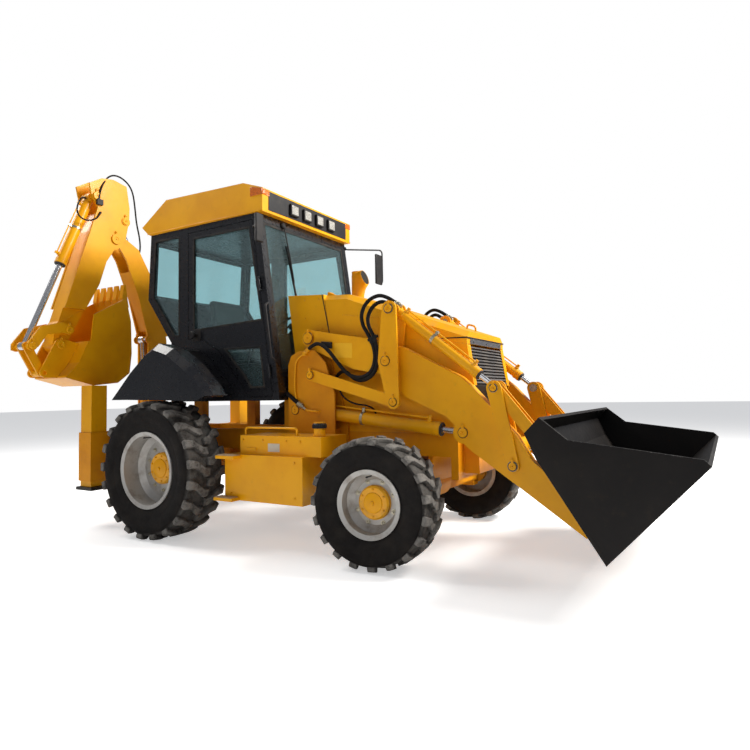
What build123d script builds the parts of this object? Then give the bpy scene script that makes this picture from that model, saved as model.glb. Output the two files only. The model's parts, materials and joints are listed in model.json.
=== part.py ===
from build123d import *
import os
from math import cos, hypot, radians, sin

os.makedirs("parts", exist_ok=True)

# A backhoe loader, in millimetres. +X is forward, +Y is to the machine's left, +Z is up.
# The origin lies on the ground, in the machine's middle plane, below the rear axle.
# The working tools stand as for travel: loader carried low and rolled back, backhoe folded and swung to the right.

# ---------------------------------------------------------------- driving sizes
PIN_GAP = 0.5          # radial clearance of every pivot pin in its eye
SEAT = 0.3             # gap between pieces that sit on each other
CLEAR = 6.0            # least side gap between pieces that move past each other

WHEELBASE = 2155.0
STEER_REST = 5.0       # degrees that the front wheels stand to the left
KINGPIN_Y = 850.0

# wheels: tyre radius and width, rim flange radius and width, half track, hub radius, hub recess and hub depth
FRONT_WHEEL = dict(tyre_r=460.0, tyre_w=350.0, rim_r=241.0, rim_w=267.0, track=974.0, hub_r=118.0,
                   recess=70.0, hub_deep=80.0)
REAR_WHEEL = dict(tyre_r=597.0, tyre_w=410.0, rim_r=330.0, rim_w=330.0, track=1045.0, hub_r=137.0,
                  recess=145.0, hub_deep=90.0)
SPINDLE_R = 60.0

# chassis
RAIL_IN = 340.0
RAIL_OUT = 420.0
RAIL_LOW = 730.0
RAIL_TOP = 910.0
FRAME_REAR = -760.0
FRAME_FRONT = 2560.0
TOWER_PLATE = 20.0
TOWER_REAR = 1056.0
TOWER_OUTER = 563.0    # inner face of the outer tower plate
TOWER_OUTER_PLATE = 16.0

# loader linkage pivots, (forward, up)
ARM_PIVOT = (1255.0, 1708.0)
PARALLEL = (62.0, -320.0)      # from arm pivot to levelling link pin, and from bellcrank pivot to its lower pin
CRANK_PIVOT = (2056.0, 1476.0)
CRANK_TOP = (2095.0, 1882.0)
LINK_REAR = (ARM_PIVOT[0] + PARALLEL[0], ARM_PIVOT[1] + PARALLEL[1])
CRANK_LOW = (CRANK_PIVOT[0] + PARALLEL[0], CRANK_PIVOT[1] + PARALLEL[1])
LEVER_TOP = (2902.0, 1249.0)
LEVER_LOW = (3027.0, 702.0)
BUCKET_PIVOT = (3575.0, 300.0)
BUCKET_HORN = (3325.0, 735.0)
LIFT_BASE = (1130.0, 1095.0)
LIFT_EYE = (2654.0, 926.0)

# loader linkage across the machine
ARM_Y = 502.0
ARM_THICK = 80.0
PLATE = 18.0
LINK_Y = 585.0         # inner face of the levelling link
LINK_THICK = 20.0

# backhoe: the swing post's axis, and pivots in the folded boom's plane, (outboard, up) from that axis
SWING_X = -1450.0
SWING_Y = 230.0
BOOM_FOOT = (230.0, 1000.0)
BOOM_NOSE = (805.0, 2950.0)
BOOM_RAM_BASE = (276.0, 474.0)
BOOM_RAM_EYE = (355.0, 1891.0)
DIPPER_RAM_BASE = (60.0, 2010.0)
DIPPER_RAM_EYE = (690.0, 3175.0)
TOOL_RAM_BASE = (1040.0, 3366.0)
TOOL_RAM_EYE = (1700.0, 1735.0)
TOOL_PIVOT = (1400.0, 1760.0)
ROCKER_PIVOT = (1331.0, 1916.0)
TOOL_LINK_EYE = (1560.0, 1480.0)
BOOM_HALF = 95.0
DIPPER_HALF = 125.0

# cab
CAB_HALF = 690.0
CAB_WALL = 45.0
CAB_FLOOR = 1180.0
CAB_TOP = 2850.0
DOOR_GAP = 6.0
HOOD_HALF = 415.0


# ---------------------------------------------------------------- helpers
def side_plane(y):
    """The upright plane at lateral place y: local x is forward, local y is up, its normal points to the right."""
    return Plane(origin=(0, y, 0), x_dir=(1, 0, 0), z_dir=(0, -1, 0))


def hoe_plane(w):
    """The folded backhoe's plane, moved w forward: x is outboard, y is up, its normal points rearward."""
    return Plane(origin=(SWING_X + w, SWING_Y, 0), x_dir=(0, -1, 0), z_dir=(-1, 0, 0))


def plate(plane, points, thick, holes=(), mode=Mode.ADD, grow=0.0):
    """A flat plate on a plane, its outline grown all round, with round holes given as (x, y, radius)."""
    with BuildSketch(plane, mode=Mode.PRIVATE) as s:
        with BuildLine():
            Polyline(*points, close=True)
        make_face()
        if grow:
            offset(amount=grow, kind=Kind.INTERSECTION, mode=Mode.REPLACE)
        for x, y, r in holes:
            with Locations((x, y)):
                Circle(r, mode=Mode.SUBTRACT)
    extrude(s.sketch, amount=thick, mode=mode)


def bar(plane, ends, thick, holes=(), mode=Mode.ADD):
    """A flat bar round circles given as (x, y, radius), with round holes."""
    with BuildSketch(plane, mode=Mode.PRIVATE) as s:
        for x, y, r in ends:
            with Locations((x, y)):
                Circle(r)
        make_hull()
        for x, y, r in holes:
            with Locations((x, y)):
                Circle(r, mode=Mode.SUBTRACT)
    extrude(s.sketch, amount=thick, mode=mode)


def disc(plane, centre, r, thick, mode=Mode.ADD, inner=0.0):
    """A round pin, boss or cap on a plane."""
    with BuildSketch(plane, mode=Mode.PRIVATE) as s:
        with Locations(centre):
            Circle(r)
            if inner:
                Circle(inner, mode=Mode.SUBTRACT)
    extrude(s.sketch, amount=thick, mode=mode)


def run_plane(plane, start, end):
    """The plane across the line from start to end, both in the given plane, placed at start."""
    a = plane.from_local_coords(Vector(start[0], start[1], 0))
    b = plane.from_local_coords(Vector(end[0], end[1], 0))
    return Plane(origin=a, x_dir=plane.z_dir, z_dir=(b - a).normalized())


def rod(plane, start, end, r, begin, finish, mode=Mode.ADD):
    """A round bar of radius r along the line from start to end, from begin to finish along it."""
    across = run_plane(plane, start, end).offset(begin)
    with BuildSketch(across, mode=Mode.PRIVATE) as s:
        Circle(r)
    extrude(s.sketch, amount=finish - begin, mode=mode)


def tube(points, r):
    """A round bar along straight runs between points in space, with round corners."""
    for a, b in zip(points, points[1:]):
        a, b = Vector(*a), Vector(*b)
        with BuildSketch(Plane(origin=a, z_dir=(b - a).normalized()), mode=Mode.PRIVATE) as s:
            Circle(r)
        extrude(s.sketch, amount=(b - a).length)
    for corner in points[1:-1]:
        with Locations(corner):
            Sphere(r)


def box(x0, x1, y0, y1, z0, z1, mode=Mode.ADD):
    """An upright box between two corners."""
    with BuildSketch(Plane.XY.offset(z0), mode=Mode.PRIVATE) as s:
        with Locations(((x0 + x1) / 2, (y0 + y1) / 2)):
            Rectangle(x1 - x0, y1 - y0)
    extrude(s.sketch, amount=z1 - z0, mode=mode)


def distance(a, b):
    return hypot(b[0] - a[0], b[1] - a[1])


def save(builder, name):
    builder.part.label = name
    export_step(builder.part, f"parts/{name}.step")


# ---------------------------------------------------------------- wheels
FLANGE_H = 22.0
RIM_SHEET = 12.0


def wheel_plane(side, front):
    """At the wheel's middle: local x is up, local y is outward along the axle."""
    size = FRONT_WHEEL if front else REAR_WHEEL
    if front:
        turn = radians(STEER_REST)
        out = Vector(-sin(turn) * side, cos(turn) * side, 0)
        middle = Vector(WHEELBASE, side * KINGPIN_Y, size["tyre_r"]) + out * (size["track"] - KINGPIN_Y)
    else:
        out = Vector(0, side, 0)
        middle = Vector(0, side * size["track"], size["tyre_r"])
    return Plane(origin=middle, x_dir=(0, 0, 1), z_dir=Vector(0, 0, 1).cross(out))


def make_tyre(plane, size):
    seat_r = size["rim_r"] - FLANGE_H
    half_rim = size["rim_w"] / 2
    half = size["tyre_w"] / 2
    belly_r = (size["rim_r"] + size["tyre_r"]) / 2
    with BuildPart() as tyre:
        with BuildSketch(plane) as s:
            with BuildLine():
                Polyline(
                    (seat_r, -half_rim), (size["rim_r"] + 6, -half_rim), (belly_r - 30, -half),
                    (belly_r + 40, -half), (size["tyre_r"] - 14, -half + 14), (size["tyre_r"], -half + 60),
                    (size["tyre_r"], half - 60), (size["tyre_r"] - 14, half - 14), (belly_r + 40, half),
                    (belly_r - 30, half), (size["rim_r"] + 6, half_rim), (seat_r, half_rim), close=True)
            make_face()
        revolve(axis=Axis(plane.origin, plane.y_dir))
    return tyre


def make_rim(plane, size):
    seat_r = size["rim_r"] - FLANGE_H - SEAT
    half = size["rim_w"] / 2
    face = half - size["recess"]          # outer face of the hub
    disc_out = face - 40
    hub_in = disc_out - size["hub_deep"]
    with BuildPart() as rim:
        with BuildSketch(plane) as s:
            with BuildLine():             # barrel, flanges and disc in one section, above the axle
                Polyline(
                    (0, face), (size["hub_r"] - 12, face), (size["hub_r"], face - 12), (size["hub_r"], disc_out),
                    (seat_r - 60, disc_out), (seat_r - RIM_SHEET, disc_out + 40), (seat_r - RIM_SHEET, half + 4),
                    (size["rim_r"], half + RIM_SHEET), (size["rim_r"], half + SEAT), (seat_r, half + SEAT),
                    (seat_r, -half - SEAT), (size["rim_r"], -half - SEAT), (size["rim_r"], -half - RIM_SHEET),
                    (seat_r - RIM_SHEET, -half - 4), (seat_r - RIM_SHEET, disc_out - 20),
                    (seat_r - 60, disc_out - 20), (size["hub_r"], disc_out - 20), (size["hub_r"], hub_in),
                    (SPINDLE_R + PIN_GAP, hub_in), (SPINDLE_R + PIN_GAP, face - 20), (0, face - 20), close=True)
            make_face()
        revolve(axis=Axis(plane.origin, plane.y_dir))
    return rim


for end, size in (("front", FRONT_WHEEL), ("rear", REAR_WHEEL)):
    for hand, side in (("right", -1), ("left", 1)):
        place = wheel_plane(side, end == "front")
        save(make_tyre(place, size), f"{end}_tyre_{hand}")
        save(make_rim(place, size), f"{end}_rim_{hand}")

# ---------------------------------------------------------------- axles and knuckles
AXLE_R = 80.0
LUG_IN = 92.0          # half the height between the kingpin lugs
LUG_THICK = 28.0
KINGPIN_R = 26.0
FRONT_Z = FRONT_WHEEL["tyre_r"]
REAR_Z = REAR_WHEEL["tyre_r"]
BEAM_END = KINGPIN_Y - 62
OSCILLATE_R = 38.0


def hub_bottom(size):
    """Distance from the wheel's middle outward to the bottom of the hub's bore."""
    return size["rim_w"] / 2 - size["recess"] - 20


with BuildPart() as front_axle:
    across = Plane(origin=(WHEELBASE, -BEAM_END, FRONT_Z), x_dir=(1, 0, 0), z_dir=(0, 1, 0))
    with BuildSketch(across):
        RectangleRounded(2 * AXLE_R, 1.8 * AXLE_R, 25)
    extrude(amount=2 * BEAM_END)
    with BuildSketch(Plane(origin=(WHEELBASE, 0, FRONT_Z), x_dir=(1, 0, 0), z_dir=(0, 1, 0)).offset(-150)):
        Circle(110)
    extrude(amount=260)
    with BuildSketch(Plane.YZ.offset(WHEELBASE - 120)):       # pivot boss on top of the beam
        with Locations((0, FRONT_Z + 130)):
            Circle(OSCILLATE_R + 30)
    extrude(amount=240)
    with BuildSketch(Plane.YZ.offset(WHEELBASE - 130)):
        with Locations((0, FRONT_Z + 130)):
            Circle(OSCILLATE_R + PIN_GAP)
    extrude(amount=260, mode=Mode.SUBTRACT)
    for side in (-1, 1):
        for low in (-LUG_IN - LUG_THICK, LUG_IN):
            with BuildSketch(Plane.XY.offset(FRONT_Z + low)) as s:
                with Locations((WHEELBASE, side * KINGPIN_Y)):
                    Circle(58)
                with Locations((WHEELBASE, side * (BEAM_END - 20))):
                    Rectangle(116, 60)
                make_hull()
            extrude(amount=LUG_THICK)
            with BuildSketch(Plane.XY.offset(FRONT_Z + low - 5)):
                with Locations((WHEELBASE, side * KINGPIN_Y)):
                    Circle(KINGPIN_R + PIN_GAP)
            extrude(amount=LUG_THICK + 10, mode=Mode.SUBTRACT)
        box(WHEELBASE - 58, WHEELBASE + 58, *sorted((side * (BEAM_END - 50), side * (BEAM_END - 5))),
            FRONT_Z - LUG_IN - LUG_THICK, FRONT_Z + LUG_IN + LUG_THICK)
save(front_axle, "front_axle")

for hand, side in (("right", -1), ("left", 1)):
    place = wheel_plane(side, True)
    reach = FRONT_WHEEL["track"] - KINGPIN_Y + hub_bottom(FRONT_WHEEL) - 1
    with BuildPart() as knuckle:
        with BuildSketch(Plane.XY.offset(FRONT_Z - LUG_IN + CLEAR)):
            with Locations((WHEELBASE, side * KINGPIN_Y)):
                Circle(52)
        extrude(amount=2 * (LUG_IN - CLEAR))
        with BuildSketch(Plane.XY.offset(FRONT_Z - LUG_IN - LUG_THICK - 8)):
            with Locations((WHEELBASE, side * KINGPIN_Y)):
                Circle(KINGPIN_R)
        extrude(amount=2 * (LUG_IN + LUG_THICK + 8))
        outward = Plane(origin=(WHEELBASE, side * KINGPIN_Y, FRONT_Z), x_dir=(0, 0, 1), z_dir=place.y_dir)
        with BuildSketch(outward):
            Circle(SPINDLE_R)
        extrude(amount=reach)
    save(knuckle, f"knuckle_{hand}")

REAR_TUBE_R = 105.0
with BuildPart() as rear_axle:
    reach = REAR_WHEEL["track"] + hub_bottom(REAR_WHEEL) - 1
    along = Plane(origin=(0, 0, REAR_Z), x_dir=(1, 0, 0), z_dir=(0, 1, 0))
    with BuildSketch(along.offset(-reach)):
        Circle(SPINDLE_R)
    extrude(amount=2 * reach)
    with BuildSketch(along.offset(-800)):
        Circle(REAR_TUBE_R)
    extrude(amount=1600)
    with BuildSketch(along.offset(-200)):
        Circle(180)
    extrude(amount=360)
    for side in (-1, 1):
        box(-120, 120, *sorted((side * RAIL_IN, side * RAIL_OUT)), REAR_Z, RAIL_LOW - SEAT)
save(rear_axle, "rear_axle")

# ---------------------------------------------------------------- main frame with the loader towers
PIN_A = 35.0
PIN_B = 25.0
PIN_L = 30.0
TOW_BORE = 22.0
TOW_AT = 75.0          # the tow pin's distance ahead of the frame
NOSE = 120.0           # thickness of the nose weight
with BuildPart() as main_frame:
    box(FRAME_REAR, FRAME_FRONT, -RAIL_OUT, -RAIL_IN, RAIL_LOW, RAIL_TOP)
    plate(side_plane(-RAIL_OUT), [
        (TOWER_REAR, RAIL_LOW), (1580, RAIL_LOW), (1580, 1000), (1480, 1300), (1335, 1735),
        (1195, 1760), (TOWER_REAR, 1500)], TOWER_PLATE)
    disc(side_plane(-RAIL_OUT), ARM_PIVOT, 78, TOWER_PLATE)
    plate(side_plane(-TOWER_OUTER), [
        (TOWER_REAR, 870), (1540, 870), (1540, 1230), (1450, 1490), (1340, 1600), (1170, 1600), (1090, 1560),
        (TOWER_REAR, 1480)], TOWER_OUTER_PLATE)
    box(TOWER_REAR, 1500, -TOWER_OUTER, -RAIL_OUT, 870, 935)
    box(TOWER_REAR, TOWER_REAR + 16, -TOWER_OUTER, -RAIL_OUT, 870, 1480)
    disc(side_plane(-RAIL_OUT), ARM_PIVOT, PIN_A, ARM_Y + ARM_THICK / 2 + 12 - RAIL_OUT)
    disc(side_plane(-ARM_Y - ARM_THICK / 2 - 4), ARM_PIVOT, 55, 12)
    disc(side_plane(-RAIL_OUT), LIFT_BASE, PIN_L, TOWER_OUTER - RAIL_OUT)
    disc(side_plane(-TOWER_OUTER), LINK_REAR, PIN_B, LINK_Y + LINK_THICK + 10 - TOWER_OUTER)
    disc(side_plane(-LINK_Y - LINK_THICK - 2), LINK_REAR, 38, 10)
    mirror(about=Plane.XZ)
    for x0, x1, z0, z1 in (
            (FRAME_REAR, -700, RAIL_LOW, RAIL_TOP), (620, 700, RAIL_LOW, RAIL_TOP),
            (1060, 1140, RAIL_LOW, RAIL_TOP), (FRAME_FRONT - 60, FRAME_FRONT, 560, RAIL_TOP)):
        box(x0, x1, -RAIL_OUT, RAIL_OUT, z0, z1)
    for x0, x1 in ((-280, -160), (880, 1000)):                   # cab mounts
        for y0, y1 in ((-RAIL_OUT, -RAIL_IN), (RAIL_IN, RAIL_OUT)):
            box(x0, x1, y0, y1, RAIL_TOP, CAB_FLOOR - SEAT)
    for x0, x1 in ((WHEELBASE - 160, WHEELBASE - 126), (WHEELBASE + 126, WHEELBASE + 160)):
        box(x0, x1, -RAIL_IN - 20, RAIL_IN + 20, FRONT_Z + 60, RAIL_LOW + 40)
    with BuildSketch(Plane.YZ.offset(WHEELBASE - 160)):
        with Locations((0, FRONT_Z + 130)):
            Circle(OSCILLATE_R)
    extrude(amount=320)
    box(FRAME_FRONT, FRAME_FRONT + NOSE, -300, 300, 600, 980)      # nose weight
    box(FRAME_FRONT + 35, FRAME_FRONT + NOSE + 5, -90, 90, 720, 800, mode=Mode.SUBTRACT)
    with BuildSketch(Plane.XY.offset(590)):
        with Locations((FRAME_FRONT + TOW_AT, 0)):
            Circle(TOW_BORE)
    extrude(amount=400, mode=Mode.SUBTRACT)
save(main_frame, "main_frame")

# ---------------------------------------------------------------- loader arms
SLOT_HALF = 31.0
ARM_ROOT_R = 74.0
CRANK_PIN = 28.0
LEVER_PIN = 24.0
TOP_PIN = 20.0
BUCKET_PIN = 28.0
LINK_EYE_R = 44.0
ARM_IN = ARM_Y - ARM_THICK / 2
# room for the lift rod's eye and end as the arms rise, as (x, y, radius) from the eye
ROD_ROOM = ((16, 24, 46), (0, 0, 46), (-56, -47, 46), (-156, 42, 36), (-164, 54, 36), (-222, -10, 36))
with BuildPart() as loader_arms:
    plate(side_plane(-ARM_IN), [
        ARM_PIVOT, (1270, 1780), (1455, 1742), (1819, 1676), (2165, 1582), (2640, 1340), (2730, 1262),
        (2879, 1103), (3053, 913), (3155, 745), (3618, 343), (3532, 257), (3497, 252), (3078, 545),
        (2720, 791), (2654, 846), (2590, 975), (2520, 1045), (2180, 1195), (2030, 1365), (1699, 1428),
        (1225, 1640)], ARM_THICK)
    disc(side_plane(-ARM_IN), ARM_PIVOT, ARM_ROOT_R, ARM_THICK)
    disc(side_plane(-ARM_IN), LIFT_EYE, 80, ARM_THICK)
    disc(side_plane(-ARM_IN), BUCKET_PIVOT, 60, ARM_THICK)
    for centre, r in ((ARM_PIVOT, PIN_A), (CRANK_PIVOT, CRANK_PIN), (LEVER_LOW, LEVER_PIN),
                      (BUCKET_PIVOT, BUCKET_PIN)):
        disc(side_plane(-ARM_IN + 5), centre, r + PIN_GAP, ARM_THICK + 10, mode=Mode.SUBTRACT)
    bar(side_plane(-ARM_Y + SLOT_HALF), [(LIFT_EYE[0] + x, LIFT_EYE[1] + y, r) for x, y, r in ROD_ROOM],
        2 * SLOT_HALF, mode=Mode.SUBTRACT)
    disc(side_plane(-ARM_Y - ARM_THICK / 2), LIFT_EYE, 42, 8)
    disc(side_plane(-ARM_IN + 8), LIFT_EYE, 42, 8)
    mirror(about=Plane.XZ)
    with BuildSketch(side_plane(ARM_IN)):
        with Locations((2880, 790)):
            Circle(62)
    extrude(amount=2 * ARM_IN)
save(loader_arms, "loader_arms")

# ---------------------------------------------------------------- bellcranks and levelling links
CRANK_OUT = LINK_Y + LINK_THICK + CLEAR       # inner face of the bellcrank's outer plate
CRANK_IN = ARM_IN - 8 - PLATE                 # inner face of its inner plate
TILT_PIN = 26.0
CRANK_LOW_PIN = 22.0
with BuildPart() as bellcranks:
    bar(side_plane(-CRANK_OUT), [(*CRANK_TOP, 62), (*CRANK_PIVOT, 66), (*CRANK_LOW, 54)], PLATE)
    bar(side_plane(-CRANK_IN), [(*CRANK_TOP, 56), (*CRANK_PIVOT, 60)], PLATE)
    for y in (CRANK_IN - 5, CRANK_OUT - 5):
        disc(side_plane(-y), CRANK_TOP, TILT_PIN + PIN_GAP, PLATE + 10, mode=Mode.SUBTRACT)
    disc(side_plane(-CRANK_IN), CRANK_PIVOT, CRANK_PIN, CRANK_OUT - CRANK_IN)
    disc(side_plane(-LINK_Y + 2), CRANK_LOW, CRANK_LOW_PIN, CRANK_OUT - LINK_Y + 2)
    mirror(about=Plane.XZ)
save(bellcranks, "bellcranks")

with BuildPart() as tilt_pins:
    disc(side_plane(-CRANK_IN + 4), CRANK_TOP, TILT_PIN, CRANK_OUT + PLATE + 8 - CRANK_IN)
    disc(side_plane(-CRANK_OUT - PLATE - 1), CRANK_TOP, 40, 8)
    mirror(about=Plane.XZ)
save(tilt_pins, "tilt_pins")

with BuildPart() as levelling_links:
    bar(side_plane(-LINK_Y), [(*LINK_REAR, 48), (*CRANK_LOW, LINK_EYE_R)], LINK_THICK,
        holes=[(*LINK_REAR, PIN_B + PIN_GAP), (*CRANK_LOW, CRANK_LOW_PIN + PIN_GAP)])
    mirror(about=Plane.XZ)
save(levelling_links, "levelling_links")

# ---------------------------------------------------------------- levers and bucket links at the front of the arms
LEVER_IN = ARM_Y - ARM_THICK / 2 - 8 - PLATE
LEVER_OUT = ARM_Y + ARM_THICK / 2 + 8
EYE_HALF = 22.0
LINK_PLATE = 16.0
with BuildPart() as levers:
    for y in (LEVER_IN, LEVER_OUT):
        bar(side_plane(-y), [(*LEVER_LOW, 44), (*LEVER_TOP, 54)], PLATE,
            holes=[(*LEVER_LOW, LEVER_PIN + PIN_GAP), (*LEVER_TOP, TOP_PIN + PIN_GAP)])
    mirror(about=Plane.XZ)
save(levers, "levers")

with BuildPart() as lever_pins:
    disc(side_plane(-LEVER_IN + 4), LEVER_LOW, LEVER_PIN, LEVER_OUT + PLATE + 4 - LEVER_IN + 4)
    disc(side_plane(-LEVER_OUT - PLATE - 1), LEVER_LOW, 36, 8)
    mirror(about=Plane.XZ)
save(lever_pins, "lever_pins")

with BuildPart() as link_pins:
    for y0, y1, cap in (
            (LEVER_IN - 4, ARM_Y - EYE_HALF - 5, LEVER_IN - 9), (ARM_Y + EYE_HALF + 5, LEVER_OUT + PLATE + 4,
            LEVER_OUT + PLATE + 1)):
        disc(side_plane(-y0), LEVER_TOP, TOP_PIN, y1 - y0)
        disc(side_plane(-cap), LEVER_TOP, 32, 8)
    mirror(about=Plane.XZ)
save(link_pins, "link_pins")

with BuildPart() as bucket_links:
    for y in (ARM_Y - EYE_HALF - CLEAR - LINK_PLATE, ARM_Y + EYE_HALF + CLEAR):
        bar(side_plane(-y), [(*LEVER_TOP, 44), (*BUCKET_HORN, 40)], LINK_PLATE,
            holes=[(*LEVER_TOP, TOP_PIN + PIN_GAP), (*BUCKET_HORN, TOP_PIN)])
    mirror(about=Plane.XZ)
save(bucket_links, "bucket_links")

with BuildPart() as bucket_pins:
    disc(side_plane(-LEVER_IN + 4), BUCKET_PIVOT, BUCKET_PIN, LEVER_OUT + PLATE + 4 - LEVER_IN + 4)
    disc(side_plane(-LEVER_OUT - PLATE - 1), BUCKET_PIVOT, 40, 8)
    mirror(about=Plane.XZ)
save(bucket_pins, "bucket_pins")

# ---------------------------------------------------------------- loader bucket
BUCKET_HALF = 1118.0
BUCKET_SIDE = 18.0
BUCKET_OUTSIDE = [(3370, 1066), (3278, 970), (3348, 816), (3717, 247), (4249, 818)]
with BuildPart() as loader_bucket:
    plate(side_plane(BUCKET_HALF - BUCKET_SIDE / 2), BUCKET_OUTSIDE + [
        (4232, 834), (3709, 276), (3365, 820), (3301, 967), (3382, 1050)], 2 * BUCKET_HALF - BUCKET_SIDE)
    for y in (BUCKET_HALF, -BUCKET_HALF + BUCKET_SIDE):
        plate(side_plane(y), BUCKET_OUTSIDE + [(4213, 853), (3530, 937)], BUCKET_SIDE)
    for side in (-1, 1):
        for y in (LEVER_IN, LEVER_OUT):
            at = side_plane(-y) if side < 0 else side_plane(y + PLATE)
            plate(at, [(3350, 812), (3300, 775), (3285, 735), (3325, 695), (3505, 330), (3545, 245),
                       (3600, 240), (3714, 252), (3690, 290)], PLATE,
                  holes=[(*BUCKET_PIVOT, BUCKET_PIN + PIN_GAP)])
save(loader_bucket, "loader_bucket")


# ---------------------------------------------------------------- hydraulic cylinders
def make_barrel(plane, base, eye, r, rod_r, length, hollow_from, base_pin, half, pins=True):
    """A barrel from its base pin: an eye, a tube with a thicker gland at its mouth, and the bore for the rod."""
    rod(plane, base, eye, r, base_pin + 10, length)
    rod(plane, base, eye, r + 4, length - 60, length)
    disc(plane.offset(-half), base, base_pin + 18, 2 * half)
    rod(plane, base, eye, rod_r + PIN_GAP, hollow_from, length + 5, mode=Mode.SUBTRACT)
    disc(plane.offset(-half - 5), base, base_pin + PIN_GAP, 2 * half + 10, mode=Mode.SUBTRACT)


def make_rod(plane, base, eye, r, length, eye_r, half):
    """A piston rod, ending in an eye that has no pin through it."""
    whole = distance(base, eye)
    rod(plane, base, eye, r, whole - length, whole - eye_r * 0.6)
    disc(plane.offset(-half), eye, eye_r, 2 * half, inner=eye_r * 0.5)


LIFT_BARREL_R = 55.0
LIFT_ROD_R = 25.0
LIFT_BARREL_LENGTH = 1342.0
LIFT_EYE_HALF = SLOT_HALF - 4
with BuildPart() as lift_barrels:
    make_barrel(side_plane(-ARM_Y), LIFT_BASE, LIFT_EYE, LIFT_BARREL_R - 4, LIFT_ROD_R, LIFT_BARREL_LENGTH, 340,
                PIN_L, 50)
    mirror(about=Plane.XZ)
save(lift_barrels, "lift_barrels")
with BuildPart() as lift_rods:
    make_rod(side_plane(-ARM_Y), LIFT_BASE, LIFT_EYE, LIFT_ROD_R, 1090, 38, LIFT_EYE_HALF)
    mirror(about=Plane.XZ)
save(lift_rods, "lift_rods")

TILT_BARREL_R = 42.0
TILT_ROD_R = 20.0
TILT_BARREL_LENGTH = 863.0
with BuildPart() as tilt_barrels:
    make_barrel(side_plane(-ARM_Y), CRANK_TOP, LEVER_TOP, TILT_BARREL_R - 4, TILT_ROD_R, TILT_BARREL_LENGTH, 150,
                TILT_PIN, 40)
    mirror(about=Plane.XZ)
save(tilt_barrels, "tilt_barrels")
with BuildPart() as tilt_rods:
    make_rod(side_plane(-ARM_Y), CRANK_TOP, LEVER_TOP, TILT_ROD_R, 860, 36, EYE_HALF)
    mirror(about=Plane.XZ)
save(tilt_rods, "tilt_rods")

# ---------------------------------------------------------------- engine, cowl, grille and hood
COWL_REAR = 1056.0
COWL_REAR_TOP = 930.0
EXHAUST = (1225.0, 300.0)
HOOD_REAR = 1300.0
HOOD_FRONT = 2650.0
HOOD_SHEET = 22.0
GRILLE_LOW = 1270.0
with BuildPart() as engine:
    box(1450, 1980, -260, 260, 640, 1500)
    box(1980, 2350, -260, 260, 800, 1500)
    box(1700, 1780, -RAIL_IN + SEAT, RAIL_IN - SEAT, 770, 870)
save(engine, "engine")

COWL_LOW = RAIL_TOP + SEAT
SEAM_REAR = (1379.0, 1750.0)
SEAM_FRONT = (2650.0, 1590.0)
COWL_SIDE = [(COWL_REAR, COWL_LOW), (2500, COWL_LOW), (2640, 1100), (2700, GRILLE_LOW), SEAM_FRONT,
             SEAM_REAR, (1325, 2098), (COWL_REAR_TOP, 2124), (COWL_REAR, 1240)]
HOOD_HINGE = (1328.0, 2118.0)
HINGE_R = 13.0
HINGE_PIN = 7.0


def seam(x):
    """Height of the line on which the hood's lower edge rests."""
    return SEAM_REAR[1] + (SEAM_FRONT[1] - SEAM_REAR[1]) * (x - SEAM_REAR[0]) / (SEAM_FRONT[0] - SEAM_REAR[0])



with BuildPart() as engine_cowl:
    plate(side_plane(HOOD_HALF), COWL_SIDE, 2 * HOOD_HALF)
    plate(side_plane(HOOD_HALF - HOOD_SHEET), [
        (COWL_REAR + 25, 880), (2800, 880), (2800, 1700), (1370, 1850), (1303, 2076),
        (COWL_REAR_TOP + 30, 2100), (COWL_REAR + 25, 1240)], 2 * (HOOD_HALF - HOOD_SHEET), mode=Mode.SUBTRACT)
    for y in (-280, 350):
        disc(side_plane(y), HOOD_HINGE, HINGE_R, 30)
        plate(side_plane(y), [(HOOD_HINGE[0], HOOD_HINGE[1] + HINGE_R - 1), (HOOD_HINGE[0], 2100),
                              (1300, 2090), (1260, 2098)], 30)
    disc(side_plane(350), HOOD_HINGE, HINGE_PIN, 62)
    disc(side_plane(-280), HOOD_HINGE, HINGE_PIN, 62)
    disc(Plane.XY.offset(2095), EXHAUST, 55, 335)
    disc(Plane.XY.offset(2250), EXHAUST, 47, 185, mode=Mode.SUBTRACT)
save(engine_cowl, "engine_cowl")

with BuildPart() as grille:
    plate(side_plane(HOOD_HALF - HOOD_SHEET - SEAT), [
        (2655, GRILLE_LOW - 120), (2690, GRILLE_LOW), (2640, 1560), (2610, 1560), (2660, GRILLE_LOW),
        (2625, GRILLE_LOW - 120)], 2 * (HOOD_HALF - HOOD_SHEET - SEAT))
save(grille, "grille")

HOOD_RISE = [                 # forward, lowest, shoulder, top, of each hood section
    (HOOD_REAR, seam(HOOD_REAR) + SEAT, 2053, 2098), (1562, seam(1562) + SEAT, 2036, 2084),
    (HOOD_FRONT, seam(HOOD_FRONT) + SEAT, 1640, 1688)]
SHOULDER = 60.0


def hood_section(x, low, shoulder, top, inset):
    """One upright section across the hood, smaller all round by the inset."""
    half = HOOD_HALF - inset
    with BuildSketch(Plane.YZ.offset(x), mode=Mode.PRIVATE) as s:
        with BuildLine():
            Polyline((-half, low), (half, low), (half, shoulder - inset), (half - SHOULDER, top - inset),
                     (-half + SHOULDER, top - inset), (-half, shoulder - inset), close=True)
        make_face()
    return s.sketch


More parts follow.
